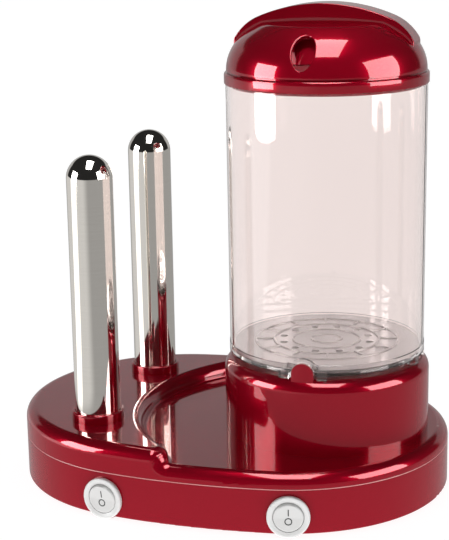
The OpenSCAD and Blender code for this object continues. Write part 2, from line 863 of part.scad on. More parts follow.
// See-saw contact, tipped as the rocker's nose holds it.
module switch_contact() {
    color(BRASS) translate([0, 0, contact_z]) rotate([-contact_tilt, 0, 0])
        cube([contact_width, contact_length, contact_sheet], center = true);
}

module switch_terminals() {
    pivot_top = contact_z - contact_sheet - 0.3;
    swing = contact_length/2*sin(contact_tilt);
    tops = [pivot_top, pivot_top - swing];
    color(BRASS) for (i = [0, 1]) translate([-blade_width/2, -i*blade_drop - blade_sheet/2, blade_end])
        cube([blade_width, blade_sheet, tops[i] - blade_end]);
}

// Inlet and wiring

module cord_gland() {
    barrel_r = gland_barrel_d/2;
    color(BLACK) at_gland() difference() {
        union() {
            translate([0, 0, -gland_in]) cylinder(r = barrel_r, h = gland_in + gland_out);
            translate([0, 0, well_face]) cylinder(r = barrel_r + 2, h = gland_flange);
            translate([0, 0, -shell_wall - gland_pad - gland_nut])
                cylinder(r = barrel_r + 3, h = gland_nut, $fn = 6);
        }
        translate([0, 0, -gland_in - cut]) cylinder(d = gland_bore_d, h = gland_in + gland_out + 2*cut);
    }
}

module terminal_block() {
    color(WHITE) translate([block_x, block_y, floor_z]) difference() {
        translate([-block_length/2, -block_width/2, 0]) cube([block_length, block_width, block_height]);
        for (x = [-1, 0, 1]) translate([x*block_length/3, 0, block_height/2])
            cylinder(d = 4, h = block_height);
    }
}

// Ends of the wires, a gap away from a blade, a pin or the block, and the bend behind each blade
wire_gap = 0.1;
wire_lead = 6;
low_level = switch_z - blade_drop;
function at_blade(side, angle, level) =
    [for (back = [wire_gap, wire_lead]) behind_wall(side, angle, back - blade_end, level)];
left_live = at_blade(-1, switch_left_angle, switch_z);
left_load = at_blade(-1, switch_left_angle, low_level);
right_live = at_blade(1, switch_right_angle, switch_z);
right_load = at_blade(1, switch_right_angle, low_level);
block_left = block_x - block_length/2 - wire_gap;
block_front = block_y - block_width/2 - wire_gap;
left_run_x = -10;
element_end = [
    boiler_x + element_radius*sin(element_gap/2), element_radius*cos(element_gap/2),
    element_end_z - element_pin - wire_gap
];
heater_end_z = bracket_z + bracket_sheet - heater_pin - wire_gap;
heater_end_x = heater_pin_x - spike_x;

module wire_left_switch() {
    color(BLACK) wire([
        each left_live, [left_run_x, -30, switch_z], [left_run_x, block_y, switch_z],
        [block_left, block_y, switch_z]
    ]);
}

module wire_right_switch() {
    color(BLACK) wire([each right_live, [block_x, 0, switch_z], [block_x, block_front, switch_z]]);
}

module wire_boiler() {
    color(SILICONE) wire([
        each right_load, [element_end.x, -30, low_level],
        [element_end.x, element_end.y, low_level], element_end
    ]);
}

module wire_spikes() {
    front = [heater_end_x, -spike_y, low_level];
    back = [heater_end_x, spike_y, low_level];
    color(SILICONE) {
        wire([each left_load, front, [front.x, front.y, heater_end_z]]);
        wire([front, back, [back.x, back.y, heater_end_z]]);
    }
}

// Tank

// Ring with a bore, from the origin up.
module ring(outer_r, inner_r, height) {
    difference() {
        cylinder(r = outer_r, h = height);
        translate([0, 0, -cut]) cylinder(r = inner_r, h = height + 2*cut);
    }
}

// Arch at the front that clears the tongue by a margin, reaching down to a depth.
module tongue_arch(margin, depth) {
    straight = tongue_rise - tongue_width/2;
    rotate([90, 0, 0]) linear_extrude(collar_d) {
        translate([-tongue_width/2 - margin, -depth]) square([tongue_width + 2*margin, straight + depth]);
        translate([0, straight]) circle(d = tongue_width + 2*margin);
    }
}

module tank() {
    leg_top = tank_gap + ledge_height;
    pocket_r = tongue_r - tongue_wall - free_gap;
    color(CLEAR) difference() {
        union() {
            at_boiler(flange_z) {
                rotate_extrude() polygon([
                    [tank_bore_r, 0], [tank_r, 0], [tank_r, flange_height],
                    [tank_r - 0.3, flange_height + 0.3], [tank_edge_r, tank_height],
                    [tank_edge_r - tank_wall, tank_height], [tank_bore_r, flange_height]
                ]);
                ring(tank_bore_r + cut, skirt_r - skirt_wall, ledge_height);
                translate([0, 0, -skirt_depth]) ring(skirt_r, skirt_r - skirt_wall, skirt_depth + cut);
            }
            at_boiler(collar_z + seat_gap) intersection() {
                ring(tank_r, tank_r - 4.5, leg_top);
                for (pair = [0:90:270], side = [-1, 1]) rotate(pair + side*leg_angle)
                    translate([-leg_width/2, -tank_foot_d, 0]) cube([leg_width, tank_foot_d, leg_top]);
            }
            at_boiler(collar_z) intersection() {
                translate([0, 0, tank_gap]) ring(tank_bore_r + cut, pocket_r - pocket_wall, collar_height);
                tongue_arch(free_gap + pocket_wall, 0);
            }
        }
        at_boiler(collar_z) difference() {
            tongue_arch(free_gap, tank_gap);
            translate([0, 0, -collar_height]) cylinder(r = pocket_r, h = 3*collar_height);
        }
    }
}

module steam_plate() {
    rib_width = 1.2;
    hub_r = 9;
    ring_step = 10.5;
    spoke_from = hub_r + 2*ring_step;
    hole_r = hub_r + 1.5*ring_step;
    pocket_r = tongue_r - tongue_wall - free_gap - pocket_wall;
    color(CLEAR) at_boiler(plate_z) difference() {
        union() {
            cylinder(r = plate_r, h = floor_sheet);
            for (i = [0:3])
                ring(hub_r + i*ring_step, hub_r + i*ring_step - rib_width, floor_sheet + floor_rib);
            for (angle = [15:30:345]) rotate(angle) translate([spoke_from - 1, -rib_width/2, 0])
                cube([ring_step + 1 - rib_width/2, rib_width, floor_sheet + floor_rib]);
        }
        for (angle = [0:30:330]) rotate(angle) translate([hole_r, 0, -cut])
            cylinder(d = steam_hole_d, h = floor_sheet + 2*cut);
        difference() {
            translate([-tongue_width/2 - pocket_wall - 2*free_gap, -tank_foot_d, -cut])
                cube([tongue_width + 2*pocket_wall + 4*free_gap, tank_foot_d, floor_sheet + 2*cut]);
            translate([0, 0, -2*cut]) cylinder(r = pocket_r - free_gap, h = floor_sheet + 4*cut);
        }
    }
}

// Lid

module lid_band() {
    skirt_out = tank_edge_r - tank_wall - 2*free_gap;
    spigot_r = dome_r - dome_wall - 0.6;
    spigot = 4;
    seat_r = dome_r - 1;
    inner_r = spigot_r - band_wall;
    color(RED) at_boiler(band_z) rotate_extrude() {
        translate([inner_r, 0]) square([band_r - inner_r, lid_band_height]);
        translate([inner_r, 0]) square([seat_r - inner_r, lid_band_height + lid_groove]);
        translate([inner_r, 0]) square([band_wall, lid_band_height + lid_groove + spigot]);
        translate([skirt_out - band_wall, -band_skirt]) square([band_wall, band_skirt + cut]);
    }
}

module lid_dome() {
    color(RED) difference() {
        at_boiler(dome_z) rotate_extrude() difference() {
            dome_below(0, shelf_y);
            dome_below(dome_wall, shelf_y - dome_wall);
        }
        at_vent(dome_shoulder - 3*dome_wall) linear_extrude(6*dome_wall) vent_outline(0);
        for (side = [-1, 1]) at_boiler(dome_z + shelf_y - dome_wall) translate([side*grip_screw_x, 0])
            screw_hole(dome_wall + cut);
    }
}

// Oval of the vent, grown by a margin.
module vent_outline(margin) {
    polygon([for (angle = [0:10:350])
        [(vent_width/2 + margin)*cos(angle), (vent_length/2 + margin)*sin(angle)]]);
}

// Side view of the grip bar: a shallow arc that runs on into a tighter one at either end.
module grip_back() {
    turn = (grip_radius - grip_end_radius)*[5/13, 12/13];
    low = [0, -grip_radius];
    intersection() {
        translate([-grip_length/2, -grip_radius]) square([grip_length, grip_radius]);
        union() {
            intersection() {
                translate(low) circle(grip_radius, $fn = BOW_FN);
                polygon([low, low + 2*turn, low + 2*[-turn.x, turn.y]]);
            }
            for (side = [-1, 1]) intersection() {
                translate(low + [side*turn.x, turn.y]) circle(grip_end_radius);
                polygon([
                    low, low + 2*[side*turn.x, turn.y], [side*grip_length, low.y + 2*turn.y],
                    [side*grip_length, low.y]
                ]);
            }
        }
    }
}

module lid_handle() {
    color(RED) difference() {
        at_boiler(grip_z) rotate([90, 0, 0]) linear_extrude(grip_width, center = true) grip_back();
        at_boiler(dome_z) rotate_extrude() dome_below(0, shelf_y);
        at_boiler(dome_z - dome_d) cylinder(r = band_r, h = dome_d);
        for (side = [-1, 1]) at_boiler(dome_z + shelf_y) translate([side*grip_screw_x, 0])
            screw_hole(handle_screw + cut);
    }
}

module vent_baffle() {
    sheet = 1.4;
    depth = 8;
    margin = 2;
    width = vent_width + 2*margin;
    low = vent_length/8;
    high = vent_length/2 + margin;
    color(RED) intersection() {
        at_vent(dome_shoulder - dome_wall - depth) {
            translate([-width/2, -low, 0]) cube([width, low + high, sheet]);
            for (side = [-1, 1]) translate([side*(width - sheet)/2 - sheet/2, -low, 0])
                cube([sheet, low + high, depth + dome_wall]);
        }
        at_boiler(dome_z) rotate_extrude() dome_below(dome_wall + 0.1, shelf_y - dome_wall - 0.1);
    }
}

module handle_screws() {
    color(STEEL) at_boiler(dome_z + shelf_y - dome_wall) for (side = [-1, 1])
        translate([side*grip_screw_x, 0]) screw_up(dome_wall + handle_screw);
}

base_tray();
base_cover();
feet();
base_screws();
boiler_collar();
collar_screws();
boiler_pan();
pan_seal();
heating_element();
element_strap();
strap_screws();
thermostat();
thermal_fuse();
spike(-1);  // spike_front
spike(1);  // spike_back
spike_ring(-1);  // spike_ring_front
spike_ring(1);  // spike_ring_back
spike_heater(-1);  // spike_heater_front
spike_heater(1);  // spike_heater_back
spike_bracket();
bracket_screws();
at_left_switch() switch_housing();  // switch_left_housing
at_left_switch() switch_rocker();  // switch_left_rocker
at_left_switch() switch_contact();  // switch_left_contact
at_left_switch() switch_terminals();  // switch_left_terminals
at_right_switch() switch_housing();  // switch_right_housing
at_right_switch() switch_rocker();  // switch_right_rocker
at_right_switch() switch_contact();  // switch_right_contact
at_right_switch() switch_terminals();  // switch_right_terminals
cord_gland();
terminal_block();
wire_left_switch();
wire_right_switch();
wire_boiler();
wire_spikes();
tank();
steam_plate();
lid_band();
lid_dome();
lid_handle();
vent_baffle();
handle_screws();
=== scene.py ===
"""Looks of a countertop cooker: two steel spikes beside a clear steaming tank, on an oval red base.

Sizes are in millimetres, in the part's own frame: Z up, the origin on the table under the middle of
the base, and the front towards -Y. Each mesh is turned into metres when it is placed.
"""

import logging
import math
from dataclasses import dataclass
from enum import Enum
from typing import Any, Mapping, Sequence

import bmesh
import bpy
import numpy as np
from mathutils import Matrix, Vector


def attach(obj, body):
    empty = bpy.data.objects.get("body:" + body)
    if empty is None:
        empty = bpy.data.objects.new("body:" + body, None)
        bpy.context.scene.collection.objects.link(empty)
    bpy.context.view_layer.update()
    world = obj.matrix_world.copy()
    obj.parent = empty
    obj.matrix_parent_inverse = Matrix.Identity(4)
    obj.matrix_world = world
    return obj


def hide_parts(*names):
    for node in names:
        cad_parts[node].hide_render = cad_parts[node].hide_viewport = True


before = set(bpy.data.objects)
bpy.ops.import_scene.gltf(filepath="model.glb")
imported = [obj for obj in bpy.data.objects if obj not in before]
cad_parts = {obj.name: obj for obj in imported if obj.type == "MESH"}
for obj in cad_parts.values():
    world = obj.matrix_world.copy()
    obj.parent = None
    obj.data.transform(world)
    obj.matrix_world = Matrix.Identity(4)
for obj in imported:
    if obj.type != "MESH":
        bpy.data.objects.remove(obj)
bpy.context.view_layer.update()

Array = np.ndarray
Pair = tuple[float, float]
Triple = tuple[float, float, float]
Node = bpy.types.Node
Socket = bpy.types.NodeSocket
MM = 0.001
MERGE_DIGITS = 4
LOG = logging.getLogger("cooker")


# Surfaces


@dataclass
class Surface:
    """A surface of quads, in millimetres. A quad with a corner given twice is a triangle.

    Attributes:
        points: (n, 3) places.
        quads: (m, 4) indices into the points.
    """

    points: Array
    quads: Array

    @classmethod
    def grid(cls, points: Array, wrap_u: bool = False, wrap_v: bool = False) -> "Surface":
        """Join neighbouring points of a lattice into quads.

        Args:
            points: (nu, nv, 3) places.
            wrap_u: Whether the last row joins the first.
            wrap_v: Whether the last column joins the first.

        Returns:
            The surface, with one quad for each cell of the lattice.
        """
        nu, nv = points.shape[:2]
        index = np.arange(nu * nv).reshape(nu, nv)
        if wrap_u:
            index = np.concatenate([index, index[:1]])
        if wrap_v:
            index = np.concatenate([index, index[:, :1]], axis=1)
        corners = [index[:-1, :-1], index[1:, :-1], index[1:, 1:], index[:-1, 1:]]
        return cls(points.reshape(-1, 3), np.stack(corners, axis=-1).reshape(-1, 4))

    @classmethod
    def capped(cls, rings: Array) -> "Surface":
        """Skin over (nu, nv, 3) closed rings, with a fan from each end ring to its middle."""
        tips = rings[[0, -1]].mean(axis=1, keepdims=True) + 0 * rings[[0, -1]]
        return cls.grid(np.concatenate([tips[:1], rings, tips[1:]]), wrap_v=True)

    def __add__(self, other: "Surface") -> "Surface":
        """Both surfaces as one."""
        quads = np.concatenate([self.quads, other.quads + len(self.points)])
        return Surface(np.concatenate([self.points, other.points]), quads)

    def without(self, dropped: Array) -> "Surface":
        """The surface without the quads marked in a boolean array."""
        return Surface(self.points, self.quads[~dropped])

    def turned(self, turn: Array) -> "Surface":
        """The surface turned by a 3 by 3 matrix."""
        return Surface(self.points @ turn.T, self.quads)

    def shifted(self, shift: Sequence[float]) -> "Surface":
        """The surface shifted along a vector."""
        return Surface(self.points + np.asarray(shift, float), self.quads)

    def mesh(self, name: str, crease: float) -> bpy.types.Mesh:
        """Make a mesh in metres: coincident points are merged and the faces turned outwards.

        Args:
            name: Name of the mesh.
            crease: Angle between faces, in degrees, from which an edge is sharp.

        Returns:
            The mesh.
        """
        near = np.round(self.points, MERGE_DIGITS)
        _, first, merged = np.unique(near, axis=0, return_index=True, return_inverse=True)
        quads = merged.reshape(-1)[self.quads]
        same = quads == np.roll(quads, -1, axis=1)
        doubles = same.sum(axis=1)
        whole = quads[doubles == 0]
        corner = quads[doubles == 1][~same[doubles == 1]].reshape(-1, 3)
        mesh = bpy.data.meshes.new(name)
        mesh.from_pydata((self.points[first] * MM).tolist(), [], whole.tolist() + corner.tolist())
        work = bmesh.new()
        work.from_mesh(mesh)
        bmesh.ops.recalc_face_normals(work, faces=work.faces)
        work.to_mesh(mesh)
        work.free()
        mesh.shade_smooth()
        mesh.set_sharp_from_angle(angle=math.radians(crease))
        return mesh


def polar(radius: Array | float, angle: Array) -> Array:
    """(..., 2) points at a radius and an angle in radians: radius times (cos, sin)."""
    return np.stack([radius * np.cos(angle), radius * np.sin(angle)], axis=-1)


def lifted(flat: Array, height: Array | float) -> Array:
    """(..., 3) points from (..., 2) places and their heights."""
    return np.concatenate([flat, np.broadcast_to(height, flat.shape[:-1])[..., None]], axis=-1)


def turns(count: int) -> Array:
    """(count, 1) evenly spaced angles that go once round, in radians."""
    return np.linspace(0, 2 * math.pi, count, endpoint=False)[:, None]


def arc(centre: Pair, radius: float, start: float, end: float, steps: int) -> Array:
    """Ends of the chords of a circular arc, which runs from a start to an end angle in degrees."""
    return np.asarray(centre) + polar(radius, np.radians(np.linspace(start, end, steps + 1)))


def rounded(corners: Sequence[Sequence[float]], steps: int = 5) -> Array:
    """Closed outline with rounded corners: each corner is replaced by the arc that touches both its sides.

    Args:
        corners: (x, y, radius) of each corner, in order.
        steps: Chords of each arc.

    Returns:
        (n, 2) points.
    """
    table = np.asarray(corners, float)
    tip, radius = table[:, :2], table[:, 2]
    to_last, to_next = np.roll(tip, 1, axis=0) - tip, np.roll(tip, -1, axis=0) - tip
    to_last /= np.linalg.norm(to_last, axis=1, keepdims=True)
    to_next /= np.linalg.norm(to_next, axis=1, keepdims=True)
    half = np.arccos(np.clip((to_last * to_next).sum(axis=1), -1, 1)) / 2
    middle = to_last + to_next
    middle /= np.maximum(np.linalg.norm(middle, axis=1, keepdims=True), 1e-9)
    centre = tip + middle * (radius / np.sin(half))[:, None]
    reach = (radius / np.tan(half))[:, None]
    first, last = tip + to_last * reach - centre, tip + to_next * reach - centre
    begin = np.arctan2(first[:, 1], first[:, 0])
    sweep = np.arctan2(last[:, 1], last[:, 0]) - begin
    sweep = (sweep + math.pi) % (2 * math.pi) - math.pi
    angle = begin[:, None] + sweep[:, None] * np.linspace(0, 1, steps + 1)
    return (centre[:, None] + polar(radius[:, None], angle)).reshape(-1, 2)


def revolved(profile: Array, columns: int = 96) -> Surface:
    """Turn (n, 2) radii and heights about the upright axis: (x, y, z) = (r cos a, r sin a, z)."""
    points = lifted(polar(profile[:, 0], turns(columns)), profile[:, 1])
    return Surface.grid(points, wrap_u=True, wrap_v=True)


def border(across: Array, along: Array) -> tuple[Array, Array]:
    """Places round the edge of a lattice: its first row, a side, its last row and the other side.

    Args:
        across: First coordinate of the lattice's columns.
        along: Second coordinate of its rows.

    Returns:
        Both coordinates of the places, in order.
    """
    row, side = len(across), len(along) - 2
    first = [across, np.full(side, across[-1]), across[::-1], np.full(side, across[0])]
    second = [np.full(row, along[0]), along[1:-1], np.full(row, along[-1]), along[-2:0:-1]]
    return np.concatenate(first), np.concatenate(second)


def hollow(size: Array, gap: Array) -> Array:
    """Height of a hollow fillet: f - sqrt(f^2 - (f - e)^2) for the radius f, at a gap e from the wall."""
    return size - np.sqrt(np.maximum(size**2 - (size - gap) ** 2, 0))


def turn_about(axis: str, degrees: float) -> Array:
    """3 by 3 matrix of a turn about X, Y or Z."""
    return np.array(Matrix.Rotation(math.radians(degrees), 3, axis))


# Finishes


class Graph:
    """Node tree of a material or of the surroundings, with short ways to add nodes."""

    def __init__(self, owner: bpy.types.Material | bpy.types.World) -> None:
        """Turn the owner's nodes on and keep its tree."""
        owner.use_nodes = True
        self.tree = owner.node_tree

    def fill(self, node: Node, inputs: Mapping[str | int, Any]) -> None:
        """Give inputs of a node their values.

        Args:
            node: The node.
            inputs: By name or number of the input, a value or the output that feeds it.
        """
        for key, value in inputs.items():
            if isinstance(value, Socket):
                self.tree.links.new(value, node.inputs[key])
            else:
                node.inputs[key].default_value = value

    def add(self, kind: str, inputs: Mapping[str | int, Any] | None = None, **settings: Any) -> Node:
        """Add a node.

        Args:
            kind: Type of the node, without the prefix that all shader nodes share.
            inputs: Values of its inputs, as in fill.
            settings: Values of its own properties.

        Returns:
            The node.
        """
        node = self.tree.nodes.new(f"ShaderNode{kind}")
        for name, value in settings.items():
            setattr(node, name, value)
        self.fill(node, inputs or {})
        return node

    def calc(self, operation: str, *values: Any) -> Socket:
        """Result of an operation on numbers."""
        return self.add("Math", dict(enumerate(values)), operation=operation).outputs["Value"]

    def vector(self, operation: str, *values: Any, output: str = "Vector") -> Socket:
        """Result of an operation on vectors, or the number that comes of it as the output Value."""
        return self.add("VectorMath", dict(enumerate(values)), operation=operation).outputs[output]

    def fade(self, value: Socket, start: float, end: float, low: float = 0.0, high: float = 1.0,
             ease: str = "SMOOTHSTEP") -> Socket:
        """Output that fades from the low to the high level while a value runs from start to end."""
        ends = {"From Min": start, "From Max": end, "To Min": low, "To Max": high}
        return self.add("MapRange", {"Value": value, **ends}, interpolation_type=ease).outputs["Result"]

    def blend(self, share: Socket, first: Socket, second: Socket) -> Socket:
        """Shader that is the first at a share of 0 and the second at 1."""
        return self.add("MixShader", {"Fac": share, 1: first, 2: second}).outputs[0]

    def both(self, matt: float, glow: float | Socket) -> Socket:
        """Shader that is matt and glows as well.

        Args:
            matt: Reflectance of the matt share.
            glow: Strength of the glow.

        Returns:
            The output that holds the shader.
        """
        diffuse = self.add("BsdfDiffuse", {"Color": (matt, matt, matt, 1)}).outputs[0]
        emission = self.add("Emission", {"Strength": glow}).outputs[0]
        return self.add("AddShader", {0: diffuse, 1: emission}).outputs[0]


class Grain(Enum):
    """What the fine structure of a finish looks like."""

    FLAKE = "metal flakes under a clear coat"
    MOULDED = "faint orange peel of moulded plastic"
    DRAWN = "fine lines round a drawn and polished tube"
    CAST = "coarse mottling of rubber, ceramic or rough metal"


TINT_EDGE = (0.35, 0.7)
GLOSS_EDGE = (0.3, 0.7)
COAT_ROUGHNESS = 0.02
BUMP_HEIGHT = 0.0002
BROAD_SCALE = 0.02
LINE_STRETCH = 40


@dataclass(frozen=True)
class Finish:
    """A finish with its own noise in colour, gloss and relief.

    Attributes:
        name: Name of the material.
        slot: Slot of the part's record that it belongs to; not used.
        colour: Main colour, linear.
        second: Colour that the noise mixes in, linear.
        grain: Kind of fine structure.
        pitch: Number of noise cells per metre.
        rough: Lowest and highest roughness.
        relief: Strength of the bump.
        metallic: Share of metal.
        coat: Weight of the clear coat.
        transmission: Share of light that passes through.
        ior: Index of refraction.
        specular: Level of the plain reflection, with 0.5 for the index of refraction alone.
    """

    name: str
    slot: str
    colour: Triple
    second: Triple
    grain: Grain
    pitch: float
    rough: Pair
    relief: float
    metallic: float = 0.0
    coat: float = 0.0
    transmission: float = 0.0
    ior: float = 1.5
    specular: float = 0.5

    def material(self) -> bpy.types.Material:
        """Make the material, or give the one already made.

        Returns:
            A material whose colour, roughness and bump come from noise on Object coordinates.
        """
        name = f"finish_{self.name}"
        made = bpy.data.materials.get(name)
        if made:
            return made
        made = bpy.data.materials.new(name)
        graph = Graph(made)
        flakes = self.grain is Grain.FLAKE
        stretch = LINE_STRETCH if self.grain is Grain.DRAWN else 1
        scale = (self.pitch, self.pitch, self.pitch * stretch)
        spot = graph.add("TexCoord").outputs["Object"]
        scaled = graph.add("Mapping", {"Vector": spot, "Scale": scale}).outputs["Vector"]
        noise = {"Vector": scaled, "Scale": 1, "Detail": 2 if flakes else 4}
        fine = graph.add("TexNoise", noise).outputs["Fac"]
        broad = graph.add("TexNoise", {"Vector": scaled, "Scale": BROAD_SCALE}).outputs["Fac"]
        share = graph.fade(fine if flakes else broad, *TINT_EDGE, ease="LINEAR")
        ends = {"A": (*self.colour, 1), "B": (*self.second, 1)}
        bump = {"Strength": self.relief, "Distance": BUMP_HEIGHT, "Height": fine}
        graph.fill(graph.tree.nodes["Principled BSDF"], {
            "Base Color": graph.add("Mix", {"Factor": share, **ends}, data_type="RGBA").outputs["Result"],
            "Roughness": graph.fade(broad, *GLOSS_EDGE, *self.rough, ease="LINEAR"),
            "Normal": graph.add("Bump", bump).outputs["Normal"],
            "Metallic": self.metallic,
            "Coat Weight": self.coat,
            "Coat Roughness": COAT_ROUGHNESS,
            "Transmission Weight": self.transmission,
            "IOR": self.ior,
            "Specular IOR Level": self.specular,
        })
        return made


RED = Finish(
    "candy_red", "red_plastic", (0.30, 0.0012, 0.011), (0.36, 0.002, 0.017), Grain.FLAKE, 4000,
    (0.19, 0.25), 0.02, metallic=0.42, coat=1.0, specular=0.0
)
# Pale red of the parting bead: its lightness is a painted highlight along the parting line, not a colour of
# the plastic.
PAINTED_HIGHLIGHT_RED = Finish(
    "red_edge_painted_highlight", "red_plastic", (0.52, 0.22, 0.22), (0.58, 0.27, 0.27), Grain.MOULDED, 3000,
    (0.25, 0.35), 0.02
)
CLEAR = Finish(
    "clear_plastic", "clear_plastic", (0.93, 0.865, 0.85), (0.915, 0.85, 0.835), Grain.MOULDED, 300,
    (0.0, 0.006), 0.002, transmission=1.0, ior=1.49
)
RIPPLED = Finish(
    "rippled_clear_plastic", "clear_plastic", (0.99, 0.96, 0.96), (0.96, 0.93, 0.93), Grain.MOULDED, 150,
    (0.0, 0.02), 1.0, coat=1.0, transmission=0.48, ior=1.49
)
POLISHED = Finish(
    "polished_steel", "polished_steel", (0.90, 0.86, 0.80), (0.87, 0.83, 0.77), Grain.DRAWN, 3000,
    (0.05, 0.07), 0.001, metallic=1.0
)
STEEL = Finish(
    "plain_steel", "plain_steel", (0.55, 0.54, 0.52), (0.45, 0.44, 0.43), Grain.DRAWN, 900,
    (0.28, 0.40), 0.06, metallic=1.0
)
BEZEL = Finish(
    "pale_grey_plastic", "white_plastic", (0.58, 0.58, 0.575), (0.61, 0.61, 0.605), Grain.MOULDED, 2500,
    (0.25, 0.34), 0.03
)
WHITE = Finish(
    "white_plastic", "white_plastic", (0.50, 0.50, 0.495), (0.53, 0.53, 0.525), Grain.MOULDED, 2500,
    (0.22, 0.30), 0.03
)
MARK = Finish(
    "dark_print", "white_plastic", (0.02, 0.02, 0.02), (0.03, 0.03, 0.03), Grain.MOULDED, 3000,
    (0.40, 0.50), 0.02
)
BRASS = Finish(
    "brass", "brass", (0.72, 0.50, 0.22), (0.62, 0.42, 0.18), Grain.DRAWN, 900,
    (0.25, 0.35), 0.05, metallic=1.0
)
RUBBER = Finish(
    "black_rubber", "black_rubber", (0.018, 0.018, 0.019), (0.028, 0.027, 0.027), Grain.CAST, 1200,
    (0.55, 0.75), 0.20
)
BLACK = Finish(
    "black_plastic", "black_plastic", (0.02, 0.02, 0.021), (0.03, 0.03, 0.031), Grain.MOULDED, 1800,
    (0.35, 0.45), 0.08
)
SILICONE = Finish(
    "pale_silicone", "pale_silicone", (0.68, 0.65, 0.60), (0.62, 0.59, 0.55), Grain.CAST, 1500,
    (0.45, 0.60), 0.08
)
CERAMIC = Finish(
    "pale_ceramic", "pale_ceramic", (0.74, 0.71, 0.66), (0.68, 0.65, 0.60), Grain.CAST, 2000,
    (0.50, 0.70), 0.15
)


def place(surface: Surface, name: str, body: str, finish: Finish, stands_for: Sequence[str] = (),
          crease: float = 38) -> None:
    """Make an object of a surface, dress it and let it ride on a body.

    Args:
        surface: The piece's shape, in millimetres.
        name: Name of the piece.
        body: Body that it moves with.
        finish: Its finish.
        stands_for: Solids of the part that it is shown in place of.
        crease: Angle, in degrees, from which an edge is sharp.
    """
    piece = bpy.data.objects.new(name, surface.mesh(name, crease))
    bpy.context.scene.collection.objects.link(piece)
    piece.data.materials.append(finish.material())
    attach(piece, body)
    if stands_for:
        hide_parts(*stands_for)
    LOG.info("%s: %d faces on %s, %s", name, len(piece.data.polygons), body, finish.grain.value)


def dress(names: Sequence[str], finish: Finish) -> None:
    """Give solids of the part that stay in view a finish.

    Args:
        names: Names of the solids.
        finish: Their finish.
    """
    material = finish.material()
    for name in names:
        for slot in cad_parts[name].material_slots:
            slot.material = material
        LOG.info("%s: solid kept, %s", name, finish.name)


# Base


